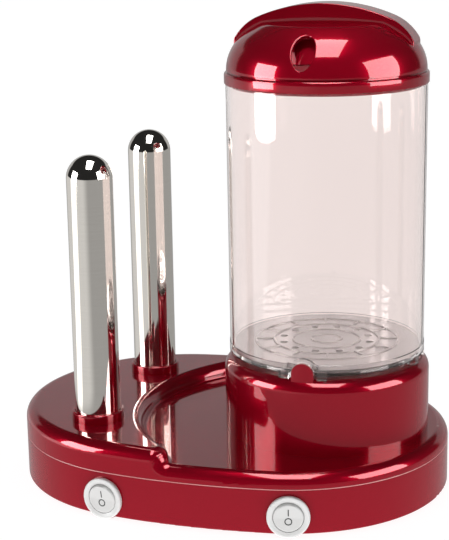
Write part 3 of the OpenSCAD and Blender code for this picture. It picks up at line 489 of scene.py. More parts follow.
@dataclass
class Base:
    """Oval base with a low deck under the boiler and a raised deck under the spikes."""

    end_x: float = 33.5
    end_r: float = 90.0
    bow_r: float = 315.7
    bow_y: float = 223.2
    low_z: float = 35.3
    rim: float = 6.5
    parting_z: float = 27.3
    boiler_x: float = 55.0
    step_r: float = 104.0
    nose: Pair = (-21.39, -82.98)
    nose_r: float = 9.35
    nose_in: float = 227.8
    nose_out: float = 266.15
    fillet: float = 1.35
    fillet_on_nose: float = 0.6
    nose_fillet: float = 5.5
    sweep_span: Pair = (-1.5, 14.0)
    sweep_ease: Pair = (2.0, 14.0)
    sweep_rows: Pair = (0.02, 15.0)
    sweep_sheet: float = 0.7
    sweep_under: Pair = (0.6, 0.8)
    sunk: float = 0.03
    fillet_back: Pair = (0.4, 0.5)
    bead_r: float = 0.38
    bead_in: float = 0.4
    bead_root: Pair = (-1.6, 0.28)

    def inset(self, flat: Array) -> Array:
        """Distance of points from the oval's outline, inwards.

        The outline is an arc about each end's centre, and a flat arc about a far centre between them.

        Args:
            flat: (..., 2) places on the base.

        Returns:
            The distances.
        """
        x, y = np.abs(flat[..., 0]), np.abs(flat[..., 1])
        beside_end = (x - self.end_x) * self.bow_y > y * self.end_x
        end = self.end_r - np.hypot(x - self.end_x, y)
        bow = self.bow_r - np.hypot(x, y + self.bow_y)
        return np.where(beside_end, end, bow)

    def low_surface(self, flat: Array) -> Array:
        """Height of the low deck with its rounded rim: a quarter circle within the rim's width."""
        short = np.clip(self.rim - self.inset(flat), 0, self.rim)
        return self.low_z - self.rim + np.sqrt(self.rim**2 - short**2)

    def raised_gap(self, flat: Array) -> Array:
        """Distance of points on the low deck from the raised one, negative on the raised deck.

        It is taken from the nose's circle within the nose's wedge, and from the step's circle elsewhere.

        Args:
            flat: (..., 2) places on the base.

        Returns:
            The distances.
        """
        across, along = flat[..., 0] - self.nose[0], -np.abs(flat[..., 1]) - self.nose[1]
        angle = np.degrees(np.arctan2(along, across))
        at_nose = (angle > self.nose_out - 360) & (angle < self.nose_in - 180)
        step = self.step_r - np.hypot(flat[..., 0] - self.boiler_x, flat[..., 1])
        return np.where(at_nose, np.hypot(across, along) - self.nose_r, step)

    def nose_sweep(self) -> Surface:
        """Hollow sweep that carries the rim down from a nose to the low deck, at the front.

        Points are taken along the outline and inwards from it. Their height is that of the low deck plus
        that of a hollow fillet at the raised deck, whose radius eases from the nose's fillet at the outline
        to the step's fillet beyond the rim.

        Returns:
            The closed sweep.
        """
        along = np.linspace(*self.sweep_span, 64)[:, None]
        over_rim = self.rim * (1 - np.cos(np.radians(np.linspace(0, 90, 25))))
        nearest, deepest = self.sweep_rows
        inset = nearest + np.concatenate([over_rim, np.linspace(self.rim, deepest, 16)[1:]])
        angle = math.atan2(self.nose[0], self.bow_y - self.nose[1]) + along / self.bow_r
        start, end = self.sweep_ease
        share = np.clip((inset - start) / (end - start), 0, 1)
        size = self.nose_fillet + (self.fillet - self.nose_fillet) * share**2 * (3 - 2 * share)
        flat = self._from_outline(angle, inset)
        gap = np.clip(self.raised_gap(flat), 0, size)
        deck = self.low_surface(flat)
        top = lifted(flat, deck + hollow(size, gap) - self.sunk)
        foot_drop, deck_drop = self.sweep_under
        foot = lifted(flat[:, :1], self.low_z - self.rim - foot_drop)
        under = lifted(self._from_outline(angle, inset + self.sweep_sheet), deck - deck_drop)
        return Surface.capped(np.concatenate([foot, top, under[:, ::-1]], axis=1))

    def _from_outline(self, angle: Array, inset: Array) -> Array:
        """Places at angles about the front bow's centre, from -Y, and insets from the outline."""
        reach = self.bow_r - inset
        return np.stack([reach * np.sin(angle), self.bow_y - reach * np.cos(angle)], axis=-1)

    def step_fillet(self) -> Surface:
        """Hollow fillet between the low deck and the step wall, faded out along the two noses.

        At each place along the wall a closed section has a back inside the wall and the deck.

        Returns:
            The closed strip.
        """
        on_step = np.radians(np.linspace(180, self.nose_in, 96))
        on_nose = np.linspace(0, self.fillet_on_nose, 24)[1:]
        spin = np.radians(self.nose_in + 180 + on_nose * (self.nose_out - self.nose_in - 180))
        inward, outward = -polar(1, on_step), polar(1, spin)
        at_step = np.array([self.boiler_x, 0]) - self.step_r * inward
        at_nose = np.asarray(self.nose) + self.nose_r * outward
        fade = np.concatenate([np.ones(len(on_step)), np.sqrt(1 - (on_nose / self.fillet_on_nose) ** 2)])
        wall, out = np.concatenate([at_step, at_nose]), np.concatenate([inward, outward])
        size = self.fillet * fade[:, None]
        away = size * (1 - np.cos(np.radians(np.linspace(90, 0, 9))))
        flat = wall[:, None] + away[..., None] * out[:, None]
        top = lifted(flat, self.low_surface(flat) + hollow(size, away))
        behind, below = self.fillet_back
        root = lifted(-behind * out, -below) * np.minimum(size, 1)
        front = np.concatenate([top, top[:, ::-1] + root[:, None]], axis=1)
        back = front[::-1] * np.array([1, -1, 1])
        return Surface.grid(np.concatenate([back[:-1], front]), wrap_v=True)

    def parting_bead(self) -> Surface:
        """Bead in the gap between the shells: a half round carried along the oval's outline.

        The outline is an arc about each end's centre and about each bow's far centre.

        Returns:
            The closed bead.
        """
        turn = math.atan2(self.bow_y, self.end_x)
        ends = np.linspace(-turn, turn, 96, endpoint=False)
        bow = np.linspace(turn, math.pi - turn, 48, endpoint=False)
        angle = np.concatenate([ends, bow, ends + math.pi, bow + math.pi])
        x, y = np.cos(angle), np.sin(angle)
        beside_end = np.abs(x) * self.bow_y > np.abs(y) * self.end_x
        centre_x = np.where(beside_end, np.sign(x) * self.end_x, 0)
        centre_y = np.where(beside_end, 0, -np.sign(y) * self.bow_y)
        radius = np.where(beside_end, self.end_r, self.bow_r)
        outline = np.stack([centre_x, centre_y], axis=-1) + polar(radius, angle)
        root, half = self.bead_root
        nose = arc((-self.bead_in, 0), self.bead_r, -90, 90, 8)
        section = np.concatenate([[[root, -half]], nose, [[root, half]]])
        flat = outline[:, None] + polar(1, angle)[:, None] * section[:, :1]
        return Surface.grid(lifted(flat, self.parting_z + section[:, 1]), wrap_u=True, wrap_v=True)

    def build(self) -> None:
        """Build the fillet, the sweeps and the bead, and dress the shells and what is inside."""
        sweep = self.nose_sweep()
        place(self.step_fillet(), "step_fillet", "base", RED)
        place(sweep, "nose_sweep_front", "base", RED)
        place(sweep.turned(np.diag([1.0, -1.0, 1.0])), "nose_sweep_back", "base", RED)
        # The bead's pale red paints the highlight that the parting line catches.
        place(self.parting_bead(), "parting_bead", "base", PAINTED_HIGHLIGHT_RED)
        dress(["base_tray", "base_cover"], RED)
        dress(["feet"], RUBBER)
        dress(["base_screws", "collar_screws", "bracket_screws", "strap_screws", "spike_bracket"], STEEL)
        dress(["cord_gland", "wire_left_switch", "wire_right_switch"], BLACK)
        dress(["terminal_block"], WHITE)
        dress(["wire_boiler", "wire_spikes"], SILICONE)


# Boiler and tank


@dataclass
class Boiler:
    """Collar with the dish, its seal and what heats it."""

    def build(self) -> None:
        """Dress the collar and the pieces under the tank."""
        dress(["boiler_collar"], RED)
        dress(["boiler_pan", "element_strap", "heating_element"], STEEL)
        dress(["pan_seal"], SILICONE)
        dress(["thermostat"], BLACK)
        dress(["thermal_fuse"], CERAMIC)


@dataclass
class Tank:
    """Clear tank with its ribbed floor plate, which repeats in sectors with a hole in the middle of each."""

    axis_x: float = 55.0
    plate_z: float = 82.7
    plate_r: float = 51.9
    sheet: float = 2.3
    rib: float = 0.9
    rib_half: float = 0.75
    rings: tuple[float, ...] = (8.4, 18.9, 29.4, 39.9)
    sectors: int = 12
    hole_at: float = 24.75
    hole_r: float = 2.2
    hole_field: Pair = (3.25, 7.5)
    notch_sector: int = 9
    notch_half: float = 8.95
    notch_r: float = 49.8

    def ribs(self, radius: Array, beside: Array) -> Array:
        """Height of the plate's top: half ellipses over the rings and over the spokes between the outer two.

        Args:
            radius: Distances from the axis.
            beside: Distances from the nearest spoke's middle line.

        Returns:
            The heights.
        """
        ring = np.min([np.abs(radius - middle) for middle in self.rings], axis=0)
        has_spoke = (radius > self.rings[2]) & (radius < self.rings[3])
        spoke = np.where(has_spoke, np.abs(beside), self.rib_half)
        gap = np.minimum(np.minimum(ring, spoke) / self.rib_half, 1)
        return self.sheet + self.rib * np.sqrt(1 - gap**2)

    def plate(self) -> Surface:
        """Plate with rings, spokes, steam holes and a notch for the tongue's pocket.

        A lattice of angles and radii gives the top and the underside. In each sector, the angles follow the
        spoke's sides and the notch's sides, which are parallel lines. The cells round a hole are left out
        and a ring of quads runs from their border to the hole's circle, down its wall and out again below.

        Returns:
            The closed plate, about its own axis.
        """
        over = self.rib_half * np.array([-1, -0.97, -0.8, -0.45, 0, 0.45, 0.8, 0.97, 1])
        tall, wide = self.hole_field
        hole_rows = np.linspace(-tall, tall, 7) + self.hole_at
        rows = np.concatenate([
            [0, 3, 6], over + self.rings[0], [12, 15], over + self.rings[1], hole_rows,
            over + self.rings[2], [32, 34.5, 37], over + self.rings[3], [43, self.notch_r, self.plate_r]
        ])
        count, pitch, side = self.sectors, 360 / self.sectors, self.notch_half
        field = np.linspace(-wide, wide, 13)
        base = np.concatenate([np.full(len(over), -pitch / 2), [-12, 0, 0], field, [0, 0, 12]])
        aside = np.concatenate([over, [0, -side, -side], 0 * field, [side, side, 0]])
        from_r = np.where(np.abs(aside) > self.rib_half, self.notch_r, self.rings[2] - self.rib_half)
        wide_r = np.full((count, len(base)), self.plate_r)
        hole_start = len(over) + 3
        hole_end = hole_start + len(field)
        wide_r[self.notch_sector, hole_start - 1:hole_end + 1] = self.notch_r
        radius = np.minimum(rows, wide_r.reshape(-1, 1))
        lean = np.tile(aside, count)[:, None] / np.maximum(radius, np.tile(from_r, count)[:, None])
        turn = np.repeat(np.arange(count) * pitch, len(base)) + np.tile(base, count)
        angle = np.radians(turn)[:, None] + np.arcsin(lean)
        spin = np.radians((np.degrees(angle) - pitch / 2) % pitch)
        beside = radius * np.sin(np.minimum(spin, math.radians(pitch) - spin))
        flat = polar(radius, angle)
        top, under = lifted(flat, self.ribs(radius, beside)), lifted(flat, 0.0)
        disc = Surface.grid(np.concatenate([top, under[:, ::-1]], axis=1), wrap_u=True)
        column, row = np.divmod(np.arange(len(disc.quads)), 2 * len(rows) - 1)
        column %= len(base)
        row = np.minimum(row, 2 * len(rows) - 2 - row)
        first = int(np.argmin(np.abs(rows - hole_rows[0])))
        in_rows = (row >= first) & (row < first + len(hole_rows) - 1)
        disc = disc.without(in_rows & (column >= hole_start) & (column < hole_end - 1))
        for sector in range(count):
            disc = disc + self._hole(field, hole_rows).turned(turn_about("Z", pitch * sector))
        return disc

    def _hole(self, field: Array, rows: Array) -> Surface:
        """Ring of quads from the border of the cells left out to a hole, through it and back below.

        Args:
            field: Angles along the border, in degrees.
            rows: Radii along the border.

        Returns:
            The surface, for the hole on the X axis.
        """
        angle, radius = border(field, rows)
        edge = polar(radius, np.radians(angle))
        out = edge - [self.hole_at, 0]
        circle = self.hole_r * out / np.linalg.norm(out, axis=1, keepdims=True) + [self.hole_at, 0]
        levels = ((edge, self.sheet), (circle, self.sheet), (circle, 0.0), (edge, 0.0))
        return Surface.grid(np.stack([lifted(flat, height) for flat, height in levels]), wrap_v=True)

    def build(self) -> None:
        """Place the plate and dress the tank."""
        plate = self.plate().shifted((self.axis_x, 0, self.plate_z))
        place(plate, "steam_plate_ribbed", "tank", RIPPLED, ["steam_plate"])
        dress(["tank"], CLEAR)


# Lid


@dataclass
class Lid:
    """Band, dome with its vent, and grip bar."""

    axis_x: float = 55.0
    band_z: float = 229.8
    band_r: float = 55.6
    band_height: float = 6.2
    skirt: Triple = (49.6, 51.6, -1.5)
    groove: float = 0.8
    spigot_gap: float = 0.6
    spigot_wall: float = 2.0
    spigot_height: float = 4.0
    dome_z: float = 236.8
    dome_r: float = 54.4
    shoulder: float = 24.0
    height: float = 33.4
    wall: float = 2.4
    shelf: float = 25.2
    shelf_edge: tuple[Pair, ...] = ((-0.1, -0.12), (-0.55, -0.02), (-1.2, 0.0))
    foot_edge: float = 0.5
    vent_width: float = 12.0
    vent_length: float = 21.0
    vent_angle: float = 37.0
    vent_edge: float = 0.7
    vent_rows: Pair = (4.0, 61.0)
    vent_search: Pair = (-5.0, 75.0)
    grip_length: float = 99.0
    grip_width: float = 19.0
    grip_radius: float = 93.0
    grip_end_radius: float = 28.0
    grip_top: float = 272.48
    grip_edge: float = 0.7
    grip_sunk: float = 0.3

    def __post_init__(self) -> None:
        """Find the cap's circle, which touches the shoulder's circle and passes through the full height."""
        self.ring_r = self.dome_r - self.shoulder
        rise = 2 * (self.height - self.shoulder)
        self.cap_r = (self.ring_r**2 + self.height**2 - self.shoulder**2) / rise
        self.cap_z = self.height - self.cap_r
        self.cap_angle = math.degrees(math.atan2(-self.cap_z, self.ring_r))

    def profile(self, angle: Array, inset: float) -> Array:
        """Dome's section at the angle of its normal: the shoulder's circle first, then the cap's.

        Args:
            angle: Angles of the normal above the horizontal, in degrees.
            inset: Distance inside the outer surface.

        Returns:
            (..., 2) radii and heights.
        """
        low = angle <= self.cap_angle
        radius = np.where(low, self.shoulder, self.cap_r) - inset
        centre = np.stack([np.where(low, self.ring_r, 0), np.where(low, 0, self.cap_z)], axis=-1)
        return centre + polar(radius, np.radians(angle))

    def at_level(self, inset: float, level: float) -> Array:
        """The (1, 2) point of the section at which the cap meets a level."""
        return self.profile(np.array([self._level_angle(inset, level)]), inset)

    def _level_angle(self, inset: float, level: float) -> float:
        """Angle of the normal, in degrees, at which the cap meets a level."""
        return math.degrees(math.asin((level - self.cap_z) / (self.cap_r - inset)))

    @staticmethod
    def swung(section: Array, spin: Array) -> Array:
        """Swing a section about the axis: (x, y, z) = (r sin a, -r cos a, z).

        Args:
            section: (..., 2) radii and heights.
            spin: Angles from the front, in degrees.

        Returns:
            (..., 3) points.
        """
        angle = np.radians(spin)
        flat = np.stack([section[..., 0] * np.sin(angle), -section[..., 0] * np.cos(angle)], axis=-1)
        return lifted(flat, section[..., 1])

    def skin(self, places: Array, inset: float) -> Array:
        """Points of the dome at (2, n) angles round the axis and angles of the normal."""
        return self.swung(self.profile(places[1], inset), places[0])

    def vent_loop(self, turn: Array, margin: float, inset: float) -> Array:
        """Where the vent's oval prism meets the dome.

        The prism runs along the vent's axis, so a point's distances from the axis, sideways and along the
        slope, are those of the oval. The angle of the normal is found by halving an interval.

        Args:
            turn: Angles round the oval, in radians.
            margin: How far the oval is grown.
            inset: Distance inside the outer surface.

        Returns:
            (2, n) angles round the axis and angles of the normal, in degrees.
        """
        side = (self.vent_width / 2 + margin) * np.cos(turn)
        along = (self.vent_length / 2 + margin) * np.sin(turn)
        tilt = math.radians(self.vent_angle)
        low, high = (np.full_like(turn, end) for end in self.vent_search)
        for _ in range(48):
            guess = (low + high) / 2
            radius, height = self.profile(guess, inset).T
            front = np.sqrt(np.maximum(radius**2 - side**2, 0))
            reach = math.sin(tilt) * (self.ring_r - front) + math.cos(tilt) * height
            low, high = np.where(reach < along, guess, low), np.where(reach < along, high, guess)
        return np.stack([np.degrees(np.arcsin(side / radius)), guess])

    def dome(self) -> Surface:
        """Dome as one closed shell: its section turned about the axis, with a window for the vent.

        The window is a rectangle of cells left out at the front on both faces. A ring of quads round the
        vent fills it, and the vent's wall joins the two faces.

        Returns:
            The shell.
        """
        columns, half_window = 180, 6
        rows = np.linspace(*self.vent_rows, 20)
        cells = len(rows) - 1
        under_z = self.shelf - self.wall
        rim = self.at_level(0, self.shelf)
        outer = self.profile(np.concatenate([[0.6, 2.2], rows, [62.2]]), 0)
        inner = self.profile(np.concatenate([[0.0, 2.0], rows]), self.wall)
        section = np.concatenate([
            [[self.dome_r - self.foot_edge, 0.0]], outer, rim + self.shelf_edge,
            [[radius, self.shelf] for radius in (30, 20, 10, 0)],
            [[radius, under_z] for radius in (0, 10, 20, 28)],
            self.at_level(self.wall, under_z), inner[::-1]
        ])
        spin = np.linspace(0, 360, columns, endpoint=False)
        shell = Surface.grid(self.swung(section, spin[:, None]), wrap_u=True, wrap_v=True)
        column, row = np.divmod(np.arange(len(shell.quads)), len(section))
        beside = (column < half_window) | (column >= columns - half_window)
        start, back = 3, len(section) - len(rows) - 2
        in_outer = (row >= start) & (row < start + cells)
        in_inner = (row >= back) & (row < back + cells)
        shell = shell.without(beside & (in_outer | in_inner))
        return shell + self._vent(np.arange(-half_window, half_window + 1) * 360 / columns, rows)

    def _vent(self, spin: Array, rows: Array) -> Surface:
        """Rings of quads from the outer face's window, through the vent, to the inner face's window.

        Args:
            spin: Angles round the axis along the window's lower side, in degrees.
            rows: Angles of the normal along its upright side, in degrees.

        Returns:
            The surface between the two windows, with the vent's rounded edge and wall.
        """
        window = np.stack(border(spin, rows))
        middle = self.vent_loop(np.array([0.0]), 0, 0)[1, 0]
        turn = np.arctan2((window[1] - middle) / np.ptp(rows), window[0] / np.ptp(spin))
        tilt = math.radians(self.vent_angle)
        axis = np.array([0, -math.cos(tilt), math.sin(tilt)])
        wide, narrow = self.vent_loop(turn, self.vent_edge, 0), self.vent_loop(turn, 0, self.wall)
        rings = [self.skin(window + share * (wide - window), 0) for share in (0, 0.3, 0.6, 0.85)]
        for bend in np.radians(np.linspace(0, 90, 6)):
            margin = self.vent_edge * (1 - math.sin(bend))
            sink = self.vent_edge * (1 - math.cos(bend))
            rings.append(self.skin(self.vent_loop(turn, margin, 0), 0) - sink * axis)
        rings += [self.skin(narrow + share * (window - narrow), self.wall) for share in (0, 0.4, 1)]
        return Surface.grid(np.stack(rings), wrap_v=True)

    def band(self) -> Surface:
        """Band with its skirt and spigot: a stepped section with rounded edges, turned about the axis.

        Returns:
            The closed ring.
        """
        top = self.band_height
        seat = top + self.groove
        skirt_in, skirt_out, skirt_z = self.skirt
        spigot = self.dome_r - self.wall - self.spigot_gap
        inner, spigot_top = spigot - self.spigot_wall, seat + self.spigot_height
        return revolved(rounded([
            (skirt_in, skirt_z, 0.4), (skirt_out, skirt_z, 0.4), (skirt_out, 0, 0.1), (self.band_r, 0, 0.7),
            (self.band_r, top, 1.1), (self.dome_r - 1, top, 0.1), (self.dome_r - 1, seat, 0.1),
            (spigot, seat, 0.1), (spigot, spigot_top, 0.3), (inner, spigot_top, 0.3), (inner, 0, 0.05),
            (skirt_in, 0, 0.05)
        ]), columns=160)

    def dome_height(self, radius: Array) -> Array:
        """Height of the dome's outer face, with the shelf in the middle.

        Args:
            radius: Distances from the axis.

        Returns:
            The heights above the dome's foot.
        """
        angle = np.linspace(self._level_angle(0, self.shelf), 0, 200)
        section = np.concatenate([[[0, self.shelf]], self.profile(angle, 0)])
        return np.interp(radius, section[:, 0], section[:, 1])

    def grip_drop(self, x: Array) -> Array:
        """How far the grip's back lies below its top: a shallow arc runs on into a tighter one at either end.

        The arcs touch where the normal leans 5 along for 12 up.

        Args:
            x: Places along the bar, from its middle.

        Returns:
            The drops.
        """
        between = self.grip_radius - self.grip_end_radius
        along = np.abs(x) - between * 5 / 13
        middle = self.grip_radius - np.sqrt(self.grip_radius**2 - x**2)
        tight = np.sqrt(np.maximum(self.grip_end_radius**2 - along**2, 0))
        end = self.grip_radius - between * 12 / 13 - tight
        return np.where(np.abs(x) < self.grip_radius * 5 / 13, middle, end)

    def grip(self) -> Surface:
        """Grip bar: a box with an arched back along X and rounded edges, standing on the dome.

        At each place along the bar the section runs up one side, over the back and down the other. Near the
        ends the section draws in by the edge's rounding.

        Returns:
            The closed bar.
        """
        half, wide, edge = self.grip_length / 2, self.grip_width / 2, self.grip_edge
        bend = np.radians(np.linspace(0, 90, 8))
        tip = half - edge * (1 - np.sin(bend))
        x = np.concatenate([-tip[::-1], np.linspace(edge - half, half - edge, 111)[1:-1], tip])
        over = np.clip(np.abs(x) - (half - edge), 0, edge)
        draw = edge - np.sqrt(np.maximum(edge**2 - over**2, 0))
        bent, flat = 1 - edge / wide * (1 - np.cos(bend)), np.linspace(1 - edge / wide, 0, 6)[1:]
        across = np.concatenate([[1.0], bent, flat])
        sink = np.concatenate([[0.0], edge * (1 - np.sin(bend)), 0 * flat])
        across = np.concatenate([across, -across[-2::-1]])
        sink = np.concatenate([sink, sink[-2::-1]])
        y = (wide - draw)[:, None] * across
        back = self.grip_top - self.dome_z - self.grip_drop(x) - draw
        seat = self.dome_height(np.hypot(x[:, None], y)) - self.grip_sunk
        z = np.maximum(back[:, None] - sink, seat)
        z[:, [0, -1]] = seat[:, [0, -1]]
        under = np.stack([x, 0 * x, self.dome_height(np.abs(x)) - 2 * self.grip_sunk], axis=-1)[:, None]
        bar = np.stack([x[:, None] + 0 * y, y, z], axis=-1)
        return Surface.capped(np.concatenate([bar, under], axis=1))

    def build(self) -> None:
        """Place the band, the dome and the grip, and dress the baffle and the screws."""
        on_dome = (self.axis_x, 0, self.dome_z)
        band = self.band().shifted((self.axis_x, 0, self.band_z))
        place(band, "lid_band_ring", "lid", RED, ["lid_band"])
        place(self.dome().shifted(on_dome), "lid_dome_shell", "lid", RED, ["lid_dome"])
        place(self.grip().shifted(on_dome), "lid_grip", "lid", RED, ["lid_handle"])
        dress(["vent_baffle"], RED)
        dress(["handle_screws"], STEEL)


# Spikes


@dataclass
class Spikes:
    """Two polished tubes with round tips, each in a red ring."""

    x: float = -66.3
    y: float = 46.8
    foot_z: float = 32.3
    deck_z: float = 43.2
    top_z: float = 193.2
    radius: float = 12.75
    wall: float = 1.0
    ring_r: float = 14.65
    ring_bore: float = 12.95
    ring_height: float = 5.0

    def tube(self) -> Surface:
        """Tube closed by a round tip: a straight side and a quarter circle, with a wall, about the axis.

        Returns:
            The closed tube, from its foot up.
        """
        straight = self.top_z - self.foot_z - self.radius
        inner = self.radius - self.wall
        outside = np.concatenate([[[self.radius, 0]], arc((0, straight), self.radius, 0, 90, 24)])
        inside = np.concatenate([arc((0, straight), inner, 90, 0, 16), [[inner, 0]]])
        return revolved(np.concatenate([outside, inside]))

    def ring(self) -> Surface:
        """Ring with rounded edges about the axis."""
        bore, outer, top = self.ring_bore, self.ring_r, self.ring_height
        return revolved(rounded([(bore, 0, 0.05), (outer, 0, 0.05), (outer, top, 0.7), (bore, top, 0.4)]))

    def build(self) -> None:
        """Place both tubes and both rings, and dress the heaters inside."""
        for name, y in (("front", -self.y), ("back", self.y)):
            tube = self.tube().shifted((self.x, y, self.foot_z))
            ring = self.ring().shifted((self.x, y, self.deck_z))
            place(tube, f"spike_tube_{name}", "base", POLISHED, [f"spike_{name}"])
            place(ring, f"spike_collar_{name}", "base", RED, [f"spike_ring_{name}"])
        dress(["spike_heater_front", "spike_heater_back"], CERAMIC)


# Switches


@dataclass
class RockerSwitch:
    """Round rocker switch in the front wall, in a local frame with X right, Y up and Z out of the wall."""

    side: str
    centre_x: float
    swing: float
    wall_r: float = 90.0
    level: float = 12.9
    bezel_r: float = 11.5
    seat: float = 0.3
    face: float = 2.5
    face_dish: Pair = (1.3, 0.1)
    lip_gap: float = 0.22
    lip_drop: float = 0.6
    lip_depth: float = 1.4
    bore_r: float = 8.9
    body_r: float = 9.9
    body_depth: float = 17.0
    cavity: float = 12.3
    ball_r: float = 8.6
    pivot: float = -1.0
    valley: float = 3.2
    valley_round: float = 0.5
    valley_drop: float = 0.3
    tilt: float = 5.0
    back: float = -3.0
    edge: float = 0.35
    bar_half: Pair = (0.28, 2.0)
    bar_y: float = 3.2
    ring_radii: Pair = (1.5, 2.05)
    ring_y: float = -1.95
    print_top: float = 0.07
    print_root: float = 0.2

    def set_in(self, surface: Surface) -> Surface:
        """Move a surface from the local frame to its place in the wall.

        Args:
            surface: The surface about the switch's axis.

        Returns:
            The surface in the part's frame.
        """
        swing = turn_about("Z", self.swing)
        out = swing @ np.array([0, -self.wall_r, 0])
        return surface.turned(swing @ turn_about("X", 90)).shifted(out + [self.centre_x, 0, self.level])

    def tipped(self, surface: Surface) -> Surface:
        """Move a surface from the rocker's own frame to its place at rest, tipped about the pivot."""
        return self.set_in(surface.turned(turn_about("X", self.tilt)).shifted((0, 0, self.pivot)))

    def housing(self) -> Surface:
        """Bezel and body as one turned section, whose face dips to a lip round the rocker's ball.

        Returns:
            The closed housing, in the local frame.
        """
        face, rim, body, bore = self.face, self.bezel_r, self.body_r, self.bore_r
        lip, end, bottom = face - self.lip_drop, -self.body_depth, -self.cavity
        lip_r = math.sqrt(self.ball_r**2 - (lip - self.pivot) ** 2) + self.lip_gap
        dish, sink = self.face_dish
        return revolved(rounded([
            (body, end, 0.4), (body, self.seat, 0.02), (rim, self.seat, 0.2), (rim, face, 0.7),
            (rim - dish, face - sink, 0.6), (lip_r, lip, 0.12), (bore, lip - self.lip_depth, 0.2),
            (bore, bottom, 0.2), (0, bottom, 0), (0, end, 0)
        ]))

    def dish_height(self, y: Array) -> Array:
        """Height of the rocker's face: a shallow valley, which is a rounded V across the pivot."""
        rise = np.sqrt(y**2 + self.valley_round) - self.valley_drop
        return self.valley + math.tan(math.radians(self.tilt)) * rise

    def rocker(self) -> Surface:
        """Rocker: the valley's face on a disc, a rounded edge, the ball's side and a flat back.

        The face's rim is where the valley meets the ball, found by repeated substitution.

        Returns:
            The closed surface, in the rocker's own frame about the pivot.
        """
        angle = turns(96)
        rim = np.full_like(angle, self.ball_r - 1)
        for _ in range(30):
            rim = np.sqrt(self.ball_r**2 - self.dish_height(rim * np.sin(angle)) ** 2)
        disc = polar((rim - self.edge) * np.linspace(0, 1, 22), angle)
        face = lifted(disc, self.dish_height(disc[..., 1]))
        top = self.dish_height(rim * np.sin(angle))
        start = np.arcsin(top / self.ball_r) - self.edge / self.ball_r
        stop = math.asin(self.back / self.ball_r)
        slope = start + (stop - start) * np.linspace(0, 1, 16)
        ball = lifted(polar(self.ball_r * np.cos(slope), angle), self.ball_r * np.sin(slope))
        corner = lifted(polar(rim, angle), top)
        t = np.linspace(0, 1, 6)[1:-1][:, None]
        bend = (1 - t) ** 2 * face[:, -1:] + 2 * t * (1 - t) * corner + t**2 * ball[:, :1]
        shut = lifted(np.zeros((len(angle), 1, 2)), self.back)
        return Surface.grid(np.concatenate([face, bend, ball, shut], axis=1), wrap_u=True)

    def inlay(self, flat: Array, loop: bool) -> Surface:
        """Thin print on the rocker's face: a lattice laid on the valley, with a back just under it.

        Args:
            flat: (n, m, 2) places on the face.
            loop: Whether the last row joins the first.

        Returns:
            The closed inlay, which stands a little proud of the face.
        """
        height = self.dish_height(flat[..., 1])
        top, under = lifted(flat, height + self.print_top), lifted(flat, height - self.print_root)
        return Surface.grid(np.concatenate([top, under[:, ::-1]], axis=1), wrap_u=loop, wrap_v=True)

    def bar_mark(self) -> Surface:
        """Upright bar above the middle, from a lattice whose end rows close to a line.

        Returns:
            The closed bar, in the rocker's own frame.
        """
        half_width, half_length = self.bar_half
        along = np.concatenate([[-1], np.linspace(-1, 1, 17), [1]])[:, None]
        width = half_width * np.ones_like(along)
        width[[0, -1]] = 0
        x = width * np.linspace(-1, 1, 4)
        return self.inlay(np.stack([x, self.bar_y + half_length * along + 0 * x], axis=-1), False)

    def ring_mark(self) -> Surface:
        """Ring below the middle: radii between its two circles, turned about its centre."""
        return self.inlay(polar(np.linspace(*self.ring_radii, 3), turns(48)) + [0, self.ring_y], True)

    def build(self) -> None:
        """Place the bezel, the rocker and its marks, and dress the contact and its blades."""
        name = f"switch_{self.side}"
        body = f"{self.side}_rocker"
        place(self.set_in(self.housing()), f"{name}_bezel", "base", BEZEL, [f"{name}_housing"])
        place(self.tipped(self.rocker()), f"{name}_button", body, WHITE, [f"{name}_rocker"])
        place(self.tipped(self.bar_mark()), f"{name}_bar_mark", body, MARK)
        place(self.tipped(self.ring_mark()), f"{name}_ring_mark", body, MARK)
        dress([f"{name}_contact", f"{name}_terminals"], BRASS)


# Studio


